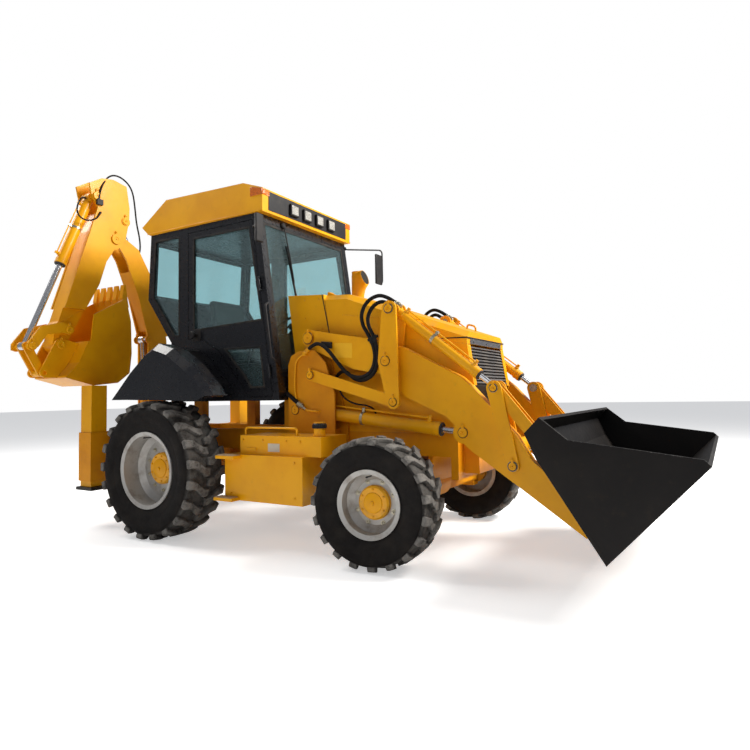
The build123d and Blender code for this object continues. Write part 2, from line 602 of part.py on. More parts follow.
with BuildPart() as hood:
    loft([hood_section(*row, 0.0) for row in HOOD_RISE], ruled=True)
    hollow = [(x, low - 30, shoulder, top) for x, low, shoulder, top in HOOD_RISE]
    hollow[-1] = (HOOD_FRONT - HOOD_SHEET, *hollow[-1][1:])
    loft([hood_section(*row, HOOD_SHEET) for row in hollow], ruled=True, mode=Mode.SUBTRACT)
    plate(side_plane(HOOD_HALF + 5), [(1200, 2250), (1307, 2250), (1331, 2098), (1385, 1750), (1390, 1700),
                                      (1200, 1700)],
          2 * HOOD_HALF + 10, mode=Mode.SUBTRACT)
    for y in (-280 - 31, 350 - 31):
        disc(side_plane(y), HOOD_HINGE, HINGE_R, 30)
        plate(side_plane(y), [(HOOD_HINGE[0], HOOD_HINGE[1] + HINGE_R - 1), (1400, 2096), (1400, 2080), (1340, 2085),
                              (HOOD_HINGE[0], 2106)], 30)
        disc(side_plane(y + 5), HOOD_HINGE, HINGE_PIN + PIN_GAP, 40, mode=Mode.SUBTRACT)
save(hood, "hood")

# ---------------------------------------------------------------- cab
CAB_SIDE = [(1045, CAB_FLOOR), (1045, 1240), (815, 2850), (-600, 2850), (-640, 2200), (-300, 1750),
            (-300, CAB_FLOOR)]
DOOR_SIDE = [(965, 1215), (965, 1250), (745, 2790), (-60, 2790), (-60, 1775), (120, 1765), (330, 1650),
             (470, 1490), (600, 1360), (700, 1215)]
QUARTER = [(-180, 2790), (-545, 2790), (-580, 2225), (-260, 1800), (-180, 1800)]
SCREEN_HALF = 630.0
SCREEN_Z = (1420.0, 2780.0)
REAR_HALF = 620.0
REAR_Z = (2230.0, 2780.0)
DOOR_HINGE = (977.0, 1250.0)            # a point on the door's hinge line
DOOR_HINGE_Y = CAB_HALF + 17
DOOR_LEAN = (-220.0, 1540.0)            # the hinge line's run, forward and up
HINGE_AT = (0.12, 0.62)
KNUCKLE = 60.0


def hinge_spot(k):
    """A point a share k of the way up the door's hinge line."""
    return (DOOR_HINGE[0] + k * DOOR_LEAN[0], DOOR_HINGE[1] + k * DOOR_LEAN[1])


def hinge_line(side, k):
    """The plane across the hinge line, a share k of the way up."""
    x, z = hinge_spot(k)
    return Plane(origin=(x, side * DOOR_HINGE_Y, z), x_dir=(0, 1, 0), z_dir=(DOOR_LEAN[0], 0, DOOR_LEAN[1]))


def hinge_part(y, k, end, pin):
    """The frame's half of one door hinge: a knuckle above or below the door's own, with its leaf and half the pin."""
    side = 1 if y > 0 else -1
    start = KNUCKLE / 2 + PIN_GAP if end > 0 else -KNUCKLE / 2 - PIN_GAP - 30
    disc(hinge_line(side, k).offset(start), (0, 0), HINGE_R, 30)
    disc(hinge_line(side, k).offset(0 if end > 0 else -KNUCKLE / 2 - 5), (0, 0), pin, KNUCKLE / 2 + 5)
    length = hypot(*DOOR_LEAN)
    low, high = hinge_spot(k + (start + 3) / length), hinge_spot(k + (start + 27) / length)
    plate(side_plane(y), [low, (low[0] + 40, low[1]), (high[0] + 40, high[1]), high], 6)


with BuildPart() as cab_frame:
    plate(side_plane(CAB_HALF), CAB_SIDE, 2 * CAB_HALF)
    plate(side_plane(CAB_HALF - CAB_WALL), [
        (1000, 1225), (1000, 1245), (772, 2805), (-556, 2805), (-592, 2215), (-255, 1765), (-255, 1225)],
        2 * (CAB_HALF - CAB_WALL), mode=Mode.SUBTRACT)
    plate(side_plane(CAB_HALF + 10), DOOR_SIDE, 2 * CAB_HALF + 20, mode=Mode.SUBTRACT, grow=DOOR_GAP)
    plate(side_plane(CAB_HALF + 10), QUARTER, 2 * CAB_HALF + 20, mode=Mode.SUBTRACT)
    box(700, 1100, -SCREEN_HALF, SCREEN_HALF, *SCREEN_Z, mode=Mode.SUBTRACT)
    box(-700, -500, -REAR_HALF, REAR_HALF, *REAR_Z, mode=Mode.SUBTRACT)
    box(600, 1000, -CAB_HALF + CAB_WALL, CAB_HALF - CAB_WALL, CAB_FLOOR, CAB_FLOOR + CAB_WALL)
    for y in (-CAB_HALF, CAB_HALF + 6):              # hinge leaves and pins, the door's own knuckle between them
        for k in HINGE_AT:
            hinge_part(y, k, 1, HINGE_PIN)
            hinge_part(y, k, -1, HINGE_PIN)
save(cab_frame, "cab_frame")

with BuildPart() as cab_glass:
    plate(side_plane(SCREEN_HALF - SEAT), [
        (1008, SCREEN_Z[0] + SEAT), (1000, SCREEN_Z[0] + SEAT), (807, SCREEN_Z[1] - SEAT), (815, SCREEN_Z[1] - SEAT)],
        2 * (SCREEN_HALF - SEAT))
    plate(side_plane(REAR_HALF - SEAT), [
        (-625, REAR_Z[0] + SEAT), (-617, REAR_Z[0] + SEAT), (-588, REAR_Z[1] - SEAT), (-596, REAR_Z[1] - SEAT)],
        2 * (REAR_HALF - SEAT))
    for y in (CAB_HALF - 14, -CAB_HALF + 26):
        plate(side_plane(y), QUARTER, 12, grow=-SEAT)
save(cab_glass, "cab_glass")

with BuildPart() as cab_roof:
    plate(side_plane(CAB_HALF + 10), [
        (879, CAB_TOP + SEAT), (880, 3060), (655, 3141), (-368, 3174), (-728, 2950), (-640, 2870),
        (-600, CAB_TOP + SEAT)],
        2 * CAB_HALF + 20)
    box(-520, 700, -CAB_HALF + 90, CAB_HALF - 90, 2840, 3080, mode=Mode.SUBTRACT)
save(cab_roof, "cab_roof")

DOOR_THICK = 40.0
GLASS = 6.0
UPPER_PANE = [(868, 1880), (722, 2740), (0, 2740), (0, 1840)]
LOWER_PANE = [(890, 1290), (845, 1660), (400, 1660), (540, 1500), (650, 1390), (720, 1290)]
for hand, side in (("right", -1), ("left", 1)):
    outer = side_plane(-CAB_HALF + DOOR_THICK) if side < 0 else side_plane(CAB_HALF)
    with BuildPart() as door:
        plate(outer, DOOR_SIDE, DOOR_THICK)
        plate(outer.offset(-5), UPPER_PANE, DOOR_THICK + 10, mode=Mode.SUBTRACT)
        plate(outer.offset(-5), LOWER_PANE, DOOR_THICK + 10, mode=Mode.SUBTRACT)
        for k in HINGE_AT:
            disc(hinge_line(side, k).offset(-KNUCKLE / 2), (0, 0), HINGE_R, KNUCKLE)
            ends = [hinge_spot(k + e * (KNUCKLE / 2 - 3) / hypot(*DOOR_LEAN)) for e in (-1, 1)]
            leaf = side_plane(-CAB_HALF) if side < 0 else side_plane(CAB_HALF + 6)
            plate(leaf, [ends[0], (ends[0][0] - 45, ends[0][1]), (ends[1][0] - 45, ends[1][1]), ends[1]], 6)
            disc(hinge_line(side, k).offset(-KNUCKLE / 2 - 5), (0, 0), HINGE_PIN + PIN_GAP, KNUCKLE + 10,
                 mode=Mode.SUBTRACT)
    save(door, f"door_{hand}")
    with BuildPart() as pane:
        for points in (UPPER_PANE, LOWER_PANE):
            plate(outer.offset(DOOR_THICK / 2 - GLASS / 2), points, GLASS)
    save(pane, f"door_glass_{hand}")

with BuildPart() as operator_seat:
    box(-150, 350, -250, 250, 1560, 1680)
    plate(side_plane(230), [(-150, 1680), (-60, 1680), (-160, 2250), (-240, 2230)], 460)
    box(-60, 260, -200, 200, CAB_FLOOR + CAB_WALL + SEAT, 1560)
    box(700, 930, -300, 300, CAB_FLOOR + CAB_WALL + SEAT, 1800)
    with BuildSketch(Plane(origin=(640, 0, 1900), z_dir=(-0.5, 0, 0.87))):
        Circle(190)
        Circle(165, mode=Mode.SUBTRACT)
        Rectangle(340, 40)
    extrude(amount=25)
    tube([(760, 0, 1780), (640, 0, 1905)], 25)
save(operator_seat, "operator_seat")

# ---------------------------------------------------------------- fenders, tanks, steps, mirrors, lamps
FENDER_IN = CAB_HALF + SEAT
FENDER_OUT = 1195.0
FENDER_SHEET = 20.0
FENDER_NARROW = [(-580, 1235), (-460, 1345), (-320, 1480), (-130, 1625), (10, 1680), (120, 1645), (300, 1505),
                 (480, 1322), (545, 1240), (440, 1215), (-300, 1222)]
FENDER_WIDE = [(-550, 1205), (-425, 1330), (-285, 1465), (-80, 1625), (60, 1695), (244, 1640), (480, 1490),
               (667, 1318), (724, 1233), (600, 1190), (-300, 1205)]
FENDER_EDGE = [(-500, 1205), (-385, 1310), (-245, 1440), (-60, 1580), (60, 1635), (225, 1585), (450, 1440),
               (630, 1295), (690, 1228), (590, 1190), (-300, 1205)]


def fender_section(y, points, inset):
    """One fender section, drawn in towards the wheel by the inset above its lower edge."""
    middle = (-50.0, 1100.0)
    inner = []
    for x, z in points:
        reach = hypot(x - middle[0], z - middle[1])
        share = 1 - inset / reach
        inner.append((middle[0] + (x - middle[0]) * share, middle[1] + (z - middle[1]) * share))
    if inset:
        inner[0] = (inner[0][0], inner[0][1] - 4 * inset)
        inner[-1] = (inner[-1][0], inner[-1][1] - 4 * inset)
        inner[-2] = (inner[-2][0], inner[-2][1] - 4 * inset)
        inner[-3] = (inner[-3][0] - inset / 2, inner[-3][1] - 2 * inset)
    with BuildSketch(side_plane(y), mode=Mode.PRIVATE) as s:
        with BuildLine():
            Polyline(*inner, close=True)
        make_face()
    return s.sketch


with BuildPart() as fenders:
    loft([fender_section(-FENDER_IN, FENDER_NARROW, 0.0), fender_section(-840, FENDER_NARROW, 0.0),
          fender_section(-990, FENDER_WIDE, 0.0), fender_section(-1130, FENDER_WIDE, 0.0),
          fender_section(-FENDER_OUT, FENDER_EDGE, 0.0)], ruled=True)
    loft([fender_section(-FENDER_IN + 2, FENDER_NARROW, FENDER_SHEET),
          fender_section(-840, FENDER_NARROW, FENDER_SHEET),
          fender_section(-990, FENDER_WIDE, FENDER_SHEET), fender_section(-1130, FENDER_WIDE, FENDER_SHEET),
          fender_section(-FENDER_OUT + FENDER_SHEET, FENDER_EDGE, FENDER_SHEET)], ruled=True, mode=Mode.SUBTRACT)
    mirror(about=Plane.XZ)
save(fenders, "fenders")

TANK_IN = RAIL_OUT + TOWER_PLATE + SEAT
TANK_STEP = TOWER_OUTER + TOWER_OUTER_PLATE + 10
with BuildPart() as tanks:
    box(720, 1525, -1000, -TANK_IN, 375, 745)
    box(836, 1660, -940, -TANK_STEP, 745, 899)
    box(700, 900, -1090, -1000, 715, 740)
    box(680, 880, -1090, -1000, 375, 400)
    mirror(about=Plane.XZ)
    with BuildSketch(Plane.XY.offset(899)):
        with Locations((1590, -860)):
            Circle(45)
    extrude(amount=110)
save(tanks, "tanks")

MIRROR_ARM = 9.0
with BuildPart() as mirrors:
    tube([(815, -CAB_HALF - SEAT, 2700), (815, -760, 2700), (925, -800, 2700)], MIRROR_ARM)
    box(915, 945, -850, -750, 2540, 2790)
    tube([(815, CAB_HALF + SEAT, 2800), (815, 730, 2800), (1000, 1190, 2860), (1000, 1190, 2480), (1000, 1097, 2460)],
         MIRROR_ARM)
    box(990, 1020, 1030, 1165, 2450, 2790)
save(mirrors, "mirrors")

with BuildPart() as roof_lamps:
    for y in (-330, -130, 70, 270):
        box(880 + SEAT, 910, y, y + 120, 2900, 3010)
save(roof_lamps, "roof_lamps")

# ---------------------------------------------------------------- rear frame, stabiliser legs and side-shift carriage
LEG_X = -1034.0
LEG_Y = 1010.0
LEG_HALF = 82.0
HOUSING_HALF = 95.0
HOUSING_LOW = 430.0
HOUSING_TOP = 895.0
LEG_TOP = 1350.0
LEG_LOW = 375.0
RAIL_DEEP = 70.0
with BuildPart() as rear_frame:
    for side in (-1, 1):
        box(LEG_X - HOUSING_HALF, LEG_X + HOUSING_HALF,
            *sorted((side * (LEG_Y - HOUSING_HALF), side * (LEG_Y + HOUSING_HALF))),
            HOUSING_LOW, HOUSING_TOP)
        box(LEG_X - LEG_HALF - PIN_GAP, LEG_X + LEG_HALF + PIN_GAP,
            *sorted((side * (LEG_Y - LEG_HALF - PIN_GAP), side * (LEG_Y + LEG_HALF + PIN_GAP))),
            HOUSING_LOW - 5, HOUSING_TOP + 5, mode=Mode.SUBTRACT)
    for z0, z1 in ((HOUSING_LOW + 20, HOUSING_LOW + 110), (HOUSING_TOP - 110, HOUSING_TOP - 20)):
        box(LEG_X - HOUSING_HALF, LEG_X - HOUSING_HALF + RAIL_DEEP, -LEG_Y + HOUSING_HALF,
            LEG_Y - HOUSING_HALF, z0, z1)
    box(LEG_X - HOUSING_HALF + RAIL_DEEP, LEG_X + HOUSING_HALF - 60, -LEG_Y + HOUSING_HALF, LEG_Y - HOUSING_HALF,
        HOUSING_LOW, HOUSING_TOP)
    for side in (-1, 1):
        box(LEG_X + HOUSING_HALF - 60, FRAME_REAR - SEAT, *sorted((side * RAIL_IN, side * RAIL_OUT)), 560, RAIL_TOP)
save(rear_frame, "rear_frame")

for hand, side in (("right", -1), ("left", 1)):
    with BuildPart() as leg:
        box(LEG_X - LEG_HALF, LEG_X + LEG_HALF, *sorted((side * (LEG_Y - LEG_HALF), side * (LEG_Y + LEG_HALF))),
            LEG_LOW, LEG_TOP)
        box(LEG_X - 110, LEG_X + 130, *sorted((side * (LEG_Y - 110), side * (LEG_Y + 110))), LEG_LOW - 30, LEG_LOW)
    save(leg, f"stabiliser_{hand}")

CAR_X = LEG_X - HOUSING_HALF - PIN_GAP
LUG_R = 108.0
POST_LOW = 430.0
POST_TOP = 1060.0
POST_R = 90.0
POST_PIN = 40.0
with BuildPart() as side_carriage:
    box(CAR_X - 26, CAR_X, SWING_Y - 230, SWING_Y + 230, HOUSING_LOW - 10, HOUSING_TOP + 10)
    for z0, z1 in ((POST_LOW - 40, POST_LOW - CLEAR), (POST_TOP + CLEAR, POST_TOP + 40)):
        with BuildSketch(Plane.XY.offset(z0)) as s:
            with Locations((SWING_X, SWING_Y)):
                Circle(LUG_R)
            with Locations((CAR_X - 13, SWING_Y)):
                Rectangle(26, 2 * LUG_R)
            make_hull()
            with Locations((SWING_X, SWING_Y)):
                Circle(POST_PIN + PIN_GAP, mode=Mode.SUBTRACT)
        extrude(amount=z1 - z0)
    box(CAR_X - 26, CAR_X, SWING_Y - 100, SWING_Y + 100, POST_LOW - 40, POST_TOP + 40)
    box(CAR_X - 50, CAR_X - 26, SWING_Y - 100, SWING_Y + 100, POST_LOW - 40, POST_TOP + 40)
save(side_carriage, "side_carriage")

EAR = 24.0
CHANNEL = 74.0
RAM_EAR_IN = 60.0
FOOT_PIN = 34.0
RAM_PIN = 30.0
with BuildPart() as swing_post:
    with BuildSketch(Plane.XY.offset(POST_LOW)):
        with Locations((SWING_X, SWING_Y)):
            Circle(POST_R)
    extrude(amount=POST_TOP - POST_LOW)
    with BuildSketch(Plane.XY.offset(POST_LOW - 46)):
        with Locations((SWING_X, SWING_Y)):
            Circle(POST_PIN)
    extrude(amount=POST_TOP - POST_LOW + 92)
    for w in (-BOOM_HALF - CLEAR - EAR, BOOM_HALF + CLEAR):
        plate(hoe_plane(w + EAR), [
            (-60, POST_LOW), (320, POST_LOW), (345, 560), (335, 1040), (290, 1100), (230, 1110), (170, 1095),
            (118, 1050), (-60, POST_TOP)], EAR)
    for w in (BOOM_HALF + CLEAR + EAR + 8, -CHANNEL - 2):        # stub pins, so that the ram can pass between
        disc(hoe_plane(w), BOOM_FOOT, FOOT_PIN, BOOM_HALF + CLEAR + EAR + 8 - CHANNEL - 2)
    disc(hoe_plane(BOOM_HALF + CLEAR + EAR + 8), BOOM_RAM_BASE, RAM_PIN, 2 * (BOOM_HALF + CLEAR + EAR + 8))
    plate(hoe_plane(BOOM_HALF + CLEAR), [(80, 600), (130, 600), (130, 860), (80, 860)], 2 * (BOOM_HALF + CLEAR))
save(swing_post, "swing_post")

# ---------------------------------------------------------------- boom
FOOT_R = 110.0
NOSE_R = 85.0
NOSE_PIN = 36.0
BOOM_OUTLINE = [
    (345, 1040), (352, 1638), (352, 1895), (480, 2346), (650, 2758), (745, 2890), (860, 3010), (805, 3035),
    (720, 3020), (490, 2900), (330, 2640), (190, 2300), (100, 1900), (80, 1500), (122, 1000), (230, 890)]
BOOM_WEB = [                  # joins the side plates along the back below the ram's eye, along the belly above it
    (116, 1110), (190, 1110), (196, 1500), (212, 1880), (300, 1990), (352, 1990), (480, 2346), (598, 2634),
    (563, 2630), (506, 2545), (336, 2300), (230, 2140), (119, 1976), (100, 1900), (80, 1500)]
with BuildPart() as boom:
    for w in (BOOM_HALF, -CHANNEL):
        plate(hoe_plane(w), BOOM_OUTLINE, BOOM_HALF - CHANNEL)
        disc(hoe_plane(w), BOOM_FOOT, FOOT_R, BOOM_HALF - CHANNEL)
    plate(hoe_plane(CHANNEL + 1), BOOM_WEB, 2 * CHANNEL + 2)
    disc(hoe_plane(BOOM_HALF), BOOM_NOSE, NOSE_R, 2 * BOOM_HALF)
    for w in (BOOM_HALF, -RAM_EAR_IN):
        bar(hoe_plane(w), [(*DIPPER_RAM_BASE, 58), (170, 1990, 60), (190, 2110, 40)], BOOM_HALF - RAM_EAR_IN)
    disc(hoe_plane(BOOM_HALF + 8), DIPPER_RAM_BASE, RAM_PIN, 2 * BOOM_HALF + 16)
    for w in (BOOM_HALF + 8, -BOOM_HALF):
        disc(hoe_plane(w), BOOM_RAM_EYE, 45, 8)
    disc(hoe_plane(BOOM_HALF + 5), BOOM_FOOT, FOOT_PIN + PIN_GAP, 2 * BOOM_HALF + 10, mode=Mode.SUBTRACT)
    disc(hoe_plane(BOOM_HALF + 5), BOOM_NOSE, NOSE_PIN + PIN_GAP, 2 * BOOM_HALF + 10, mode=Mode.SUBTRACT)
save(boom, "boom")

# ---------------------------------------------------------------- dipper
DIPPER_PLATE = 22.0
CORE_HALF = DIPPER_HALF - DIPPER_PLATE
DIPPER_CHEEK = [
    (1119, 3487), (981, 3575), (838, 3600), (675, 3570), (634, 3330), (640, 3180), (683, 2975), (760, 2860),
    (819, 2833), (914, 2684), (994, 2430), (1150, 2140), (1372, 2140), (1102, 2980), (1020, 3250), (1095, 3380)]
DIPPER_CORE = [
    (905, 3200), (1000, 3200), (1095, 2980), (1365, 2140), (1145, 2140), (994, 2430), (914, 2700)]
DIPPER_TIP = [
    (1080, 2250), (1330, 2250), (1410, 2000), (1440, 1960), (1465, 1760), (1400, 1695), (1335, 1730),
    (1290, 1840)]
TIP_HALF = 80.0
TIP_PAD = [(1300, 1870), (1405, 1975), (1165, 2138), (1150, 2135)]
TOOL_PIN = 30.0
ROCKER_PIN = 26.0
ROCKER_IN = DIPPER_HALF + CLEAR
ROCKER_PLATE = 18.0
with BuildPart() as dipper:
    for w in (DIPPER_HALF, -CORE_HALF):
        plate(hoe_plane(w), DIPPER_CHEEK, DIPPER_PLATE)
        disc(hoe_plane(w), BOOM_NOSE, 100, DIPPER_PLATE)
        disc(hoe_plane(w), DIPPER_RAM_EYE, 62, DIPPER_PLATE)
    plate(hoe_plane(CORE_HALF + 1), DIPPER_CORE, 2 * CORE_HALF + 2)
    plate(hoe_plane(TIP_HALF), DIPPER_TIP, 2 * TIP_HALF)
    disc(hoe_plane(TIP_HALF), TOOL_PIVOT, 68, 2 * TIP_HALF)
    plate(hoe_plane(TIP_HALF + 5), TIP_PAD, 2 * TIP_HALF + 10)
    for centre, r in ((BOOM_NOSE, NOSE_PIN), (TOOL_RAM_BASE, RAM_PIN)):
        disc(hoe_plane(DIPPER_HALF + 8), centre, r, 2 * (DIPPER_HALF + 8))
    disc(hoe_plane(DIPPER_HALF + 5), ROCKER_PIVOT, ROCKER_PIN + PIN_GAP, 2 * DIPPER_HALF + 10, mode=Mode.SUBTRACT)
    disc(hoe_plane(DIPPER_HALF + 5), TOOL_PIVOT, TOOL_PIN + PIN_GAP, 2 * DIPPER_HALF + 10, mode=Mode.SUBTRACT)
    for w in (DIPPER_HALF + 8, -DIPPER_HALF):
        disc(hoe_plane(w), DIPPER_RAM_EYE, 45, 8)
save(dipper, "dipper")

# ---------------------------------------------------------------- backhoe bucket, its rockers and link
TOOL_HALF = 270.0
TOOL_SHEET = 16.0
TOOL_EAR_IN = TIP_HALF + 11
TOOL_EAR = 22.0
TOOL_EYE_HALF = 35.0
TOOL_LINK_IN = TOOL_EYE_HALF + CLEAR
TOOL_LINK_PLATE = 20.0
TOOL_LINK_PIN = 24.0
TOOL_OUTSIDE = [
    (776, 2290), (716, 2044), (705, 1700), (730, 1490), (870, 1385), (1150, 1355), (1440, 1430)]
TOOL_INSIDE = [
    (1436, 1450), (1145, 1376), (880, 1405), (750, 1500), (726, 1704), (738, 2040), (800, 2283)]
with BuildPart() as hoe_bucket:
    plate(hoe_plane(TOOL_HALF - 2), TOOL_OUTSIDE + TOOL_INSIDE, 2 * TOOL_HALF - 4)
    plate(hoe_plane(TOOL_HALF - 2), [(1440, 1430), (1310, 1585), (1205, 1805), (1180, 1795), (1290, 1572),
                                     (1422, 1425)],
          2 * TOOL_HALF - 4)
    for w in (TOOL_HALF, -TOOL_HALF + TOOL_SHEET):
        plate(hoe_plane(w), TOOL_OUTSIDE + [(1310, 1585), (1205, 1805), (1180, 1800), (1150, 2080), (812, 2275)],
              TOOL_SHEET)
    for w in (TOOL_EAR_IN + TOOL_EAR, -TOOL_EAR_IN):
        bar(hoe_plane(w), [(*TOOL_PIVOT, 62), (*TOOL_LINK_EYE, 44), (1425, 1440, 10), (1215, 1775, 15)], TOOL_EAR,
            holes=[(*TOOL_LINK_EYE, TOOL_LINK_PIN), (*TOOL_PIVOT, TOOL_PIN)])
    disc(hoe_plane(TOOL_EAR_IN + TOOL_EAR + 8), TOOL_PIVOT, TOOL_PIN, 2 * (TOOL_EAR_IN + TOOL_EAR + 8))
    for k in range(5):
        w = (k - 2) * (2 * TOOL_HALF - 90) / 4
        plate(hoe_plane(w + 32), [(735, 2200), (765, 2195), (815, 2290), (792, 2440), (774, 2440), (752, 2285)], 64)
save(hoe_bucket, "hoe_bucket")

with BuildPart() as hoe_rockers:
    for w in (ROCKER_IN + ROCKER_PLATE, -ROCKER_IN):
        plate(hoe_plane(w), [
            (1290, 1905), (1310, 1960), (1411, 1985), (1625, 1922), (1745, 1760), (1745, 1700), (1690, 1690),
            (1640, 1730), (1560, 1850), (1400, 1880), (1340, 1872)], ROCKER_PLATE)
        disc(hoe_plane(w), TOOL_RAM_EYE, 46, ROCKER_PLATE)
        disc(hoe_plane(w), ROCKER_PIVOT, 46, ROCKER_PLATE)
    disc(hoe_plane(ROCKER_IN + ROCKER_PLATE), ROCKER_PIVOT, ROCKER_PIN, 2 * (ROCKER_IN + ROCKER_PLATE))
    for w in (ROCKER_IN + ROCKER_PLATE + 8, -TOOL_LINK_IN + 2):
        disc(hoe_plane(w), TOOL_RAM_EYE, TOOL_LINK_PIN, ROCKER_IN + ROCKER_PLATE + 8 - TOOL_LINK_IN + 2)
save(hoe_rockers, "hoe_rockers")

with BuildPart() as hoe_link:
    for w in (TOOL_LINK_IN + TOOL_LINK_PLATE, -TOOL_LINK_IN):
        bar(hoe_plane(w), [(*TOOL_RAM_EYE, 42), (*TOOL_LINK_EYE, 38)], TOOL_LINK_PLATE,
            holes=[(*TOOL_RAM_EYE, TOOL_LINK_PIN + PIN_GAP)])
    disc(hoe_plane(TOOL_LINK_IN + 1), TOOL_LINK_EYE, 36, 2 * TOOL_LINK_IN + 2)
save(hoe_link, "hoe_link")

# ---------------------------------------------------------------- backhoe rams
RAMS = {                      # base pin, rod eye, barrel radius, rod radius, barrel length, rod length, half width
    "boom": (BOOM_RAM_BASE, BOOM_RAM_EYE, 56.0, 32.0, 795.0, 740.0, 62.0),
    "dipper": (DIPPER_RAM_BASE, DIPPER_RAM_EYE, 46.0, 28.0, 880.0, 560.0, 52.0),
    "hoe_bucket": (TOOL_RAM_BASE, TOOL_RAM_EYE, 52.0, 28.0, 832.0, 1000.0, 62.0)}
EYE_R = 42.0
for name, (base, eye, barrel_r, rod_r, barrel_length, rod_length, half) in RAMS.items():
    with BuildPart() as barrel:
        make_barrel(hoe_plane(0), base, eye, barrel_r, rod_r, barrel_length, RAM_PIN + 25, RAM_PIN, half)
    save(barrel, f"{name}_barrel")
    with BuildPart() as ram_rod:
        make_rod(hoe_plane(0), base, eye, rod_r, rod_length, EYE_R, TOOL_EYE_HALF)
    save(ram_rod, f"{name}_rod")
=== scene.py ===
"""The looks of a backhoe loader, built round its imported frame, in metres.

+X is forward, +Y is to the machine's left, +Z is up, and the origin lies on the ground below the rear axle.
"""

import json
import math

import bmesh
import bpy
from mathutils import Matrix, Vector


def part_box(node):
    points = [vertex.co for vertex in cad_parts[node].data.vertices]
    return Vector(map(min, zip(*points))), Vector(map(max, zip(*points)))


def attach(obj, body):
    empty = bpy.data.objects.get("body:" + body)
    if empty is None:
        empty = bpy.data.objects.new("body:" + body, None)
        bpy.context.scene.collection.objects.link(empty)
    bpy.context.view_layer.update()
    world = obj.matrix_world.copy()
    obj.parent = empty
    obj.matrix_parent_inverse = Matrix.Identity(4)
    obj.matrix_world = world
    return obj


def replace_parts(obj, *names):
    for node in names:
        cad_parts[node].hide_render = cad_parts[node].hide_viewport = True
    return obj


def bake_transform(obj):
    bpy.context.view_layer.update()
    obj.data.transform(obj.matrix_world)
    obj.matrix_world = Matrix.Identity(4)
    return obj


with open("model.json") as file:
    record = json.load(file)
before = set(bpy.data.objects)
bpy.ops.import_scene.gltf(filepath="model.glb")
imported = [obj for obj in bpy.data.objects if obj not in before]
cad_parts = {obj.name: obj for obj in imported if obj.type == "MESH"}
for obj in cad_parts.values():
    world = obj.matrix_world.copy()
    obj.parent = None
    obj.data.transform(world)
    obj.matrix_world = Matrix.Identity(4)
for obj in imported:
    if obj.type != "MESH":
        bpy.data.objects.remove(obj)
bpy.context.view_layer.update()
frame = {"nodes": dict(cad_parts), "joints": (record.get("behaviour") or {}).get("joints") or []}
nodes = frame["nodes"]
scene = bpy.context.scene

# ---------------------------------------------------------------- sizes shared with the frame
CAB_SIDE = 0.690            # outer face of the cab and its doors
HOOD_SIDE = 0.415
SWING = Vector((-1.450, 0.230, 0.0))
ARM_PIVOT = (1.255, 1.708)
CRANK_TOP = (2.095, 1.882)
CRANK_PIVOT = (2.056, 1.476)
CRANK_LOW = (2.118, 1.156)
LINK_REAR = (1.317, 1.388)
LEVER_TOP = (2.902, 1.249)
LEVER_LOW = (3.027, 0.702)
BUCKET_PIVOT = (3.575, 0.300)
LIFT_BASE = (1.130, 1.095)
LIFT_EYE = (2.654, 0.926)
SIDES = ((-1, "right"), (1, "left"))


def side(y):
    """Where (forward, up) lies in space at lateral place y."""
    return lambda x, z: Vector((x, y, z))


def hoe(u, v, w=0.0):
    """A point of the folded backhoe: u outboard and v up from the swing post, w forward of its middle plane."""
    return Vector((SWING.x + w, SWING.y - u, v))


# ---------------------------------------------------------------- procedural finishes
def wire(tree, node, **inputs):
    """Fills a node's inputs, named with _ for a space or by place as i0, with values or with sockets to link."""
    for name, value in inputs.items():
        key = int(name[1:]) if name[0] == "i" and name[1:].isdigit() else name.replace("_", " ")
        if isinstance(value, bpy.types.NodeSocket):
            tree.links.new(value, node.inputs[key])
        else:
            node.inputs[key].default_value = value
    return node


def add(tree, kind, **inputs):
    """A new shader node with its inputs."""
    return wire(tree, tree.nodes.new(kind), **inputs)


def math_node(tree, operation, a, b, c=0.0):
    node = add(tree, "ShaderNodeMath", i0=a, i1=b, i2=c)
    node.operation = operation
    return node.outputs[0]


def scaled(tree, value, factor, base=0.0):
    """value times factor plus base."""
    return math_node(tree, "MULTIPLY_ADD", value, factor, base)


def noise(tree, place, scale, detail=3.0, rough=0.55):
    return add(tree, "ShaderNodeTexNoise", Vector=place, Scale=scale, Detail=detail, Roughness=rough).outputs[0]


def ramp(tree, value, low, high):
    """0 below low, 1 above high, smooth between."""
    node = add(tree, "ShaderNodeMapRange", Value=value, From_Min=low, From_Max=high)
    node.interpolation_type = "SMOOTHSTEP"
    return node.outputs[0]


def blend_colour(tree, share, a, b):
    node = tree.nodes.new("ShaderNodeMix")
    node.data_type = "RGBA"
    return wire(tree, node, i0=share, i6=a, i7=b).outputs[2]


def vector_node(tree, operation, a, b=(0, 0, 0)):
    node = add(tree, "ShaderNodeVectorMath", i0=a, i1=b)
    node.operation = operation
    return node.outputs


def bumped(tree, strength, distance, height):
    """A normal tilted by a height pattern."""
    return add(tree, "ShaderNodeBump", Strength=strength, Distance=distance, Height=height).outputs[0]


def rgb(r, g, b):
    return (r, g, b, 1.0)


def new_finish(name):
    """An empty material with its shader, and the object's own coordinates."""
    mat = bpy.data.materials.new(name)
    mat.use_nodes = True
    tree = mat.node_tree
    shader = tree.nodes["Principled BSDF"]
    place = tree.nodes.new("ShaderNodeTexCoord").outputs["Object"]
    return mat, tree, shader, place


def edge_mask(tree, width):
    """1 along convex and concave edges, 0 on flats."""
    bevel = add(tree, "ShaderNodeBevel", Radius=width)
    bevel.samples = 4
    flat = tree.nodes.new("ShaderNodeNewGeometry").outputs["Normal"]
    dot = vector_node(tree, "DOT_PRODUCT", bevel.outputs[0], flat)["Value"]
    return ramp(tree, math_node(tree, "SUBTRACT", 1.0, dot), 0.02, 0.25)


DUST = rgb(0.30, 0.235, 0.155)


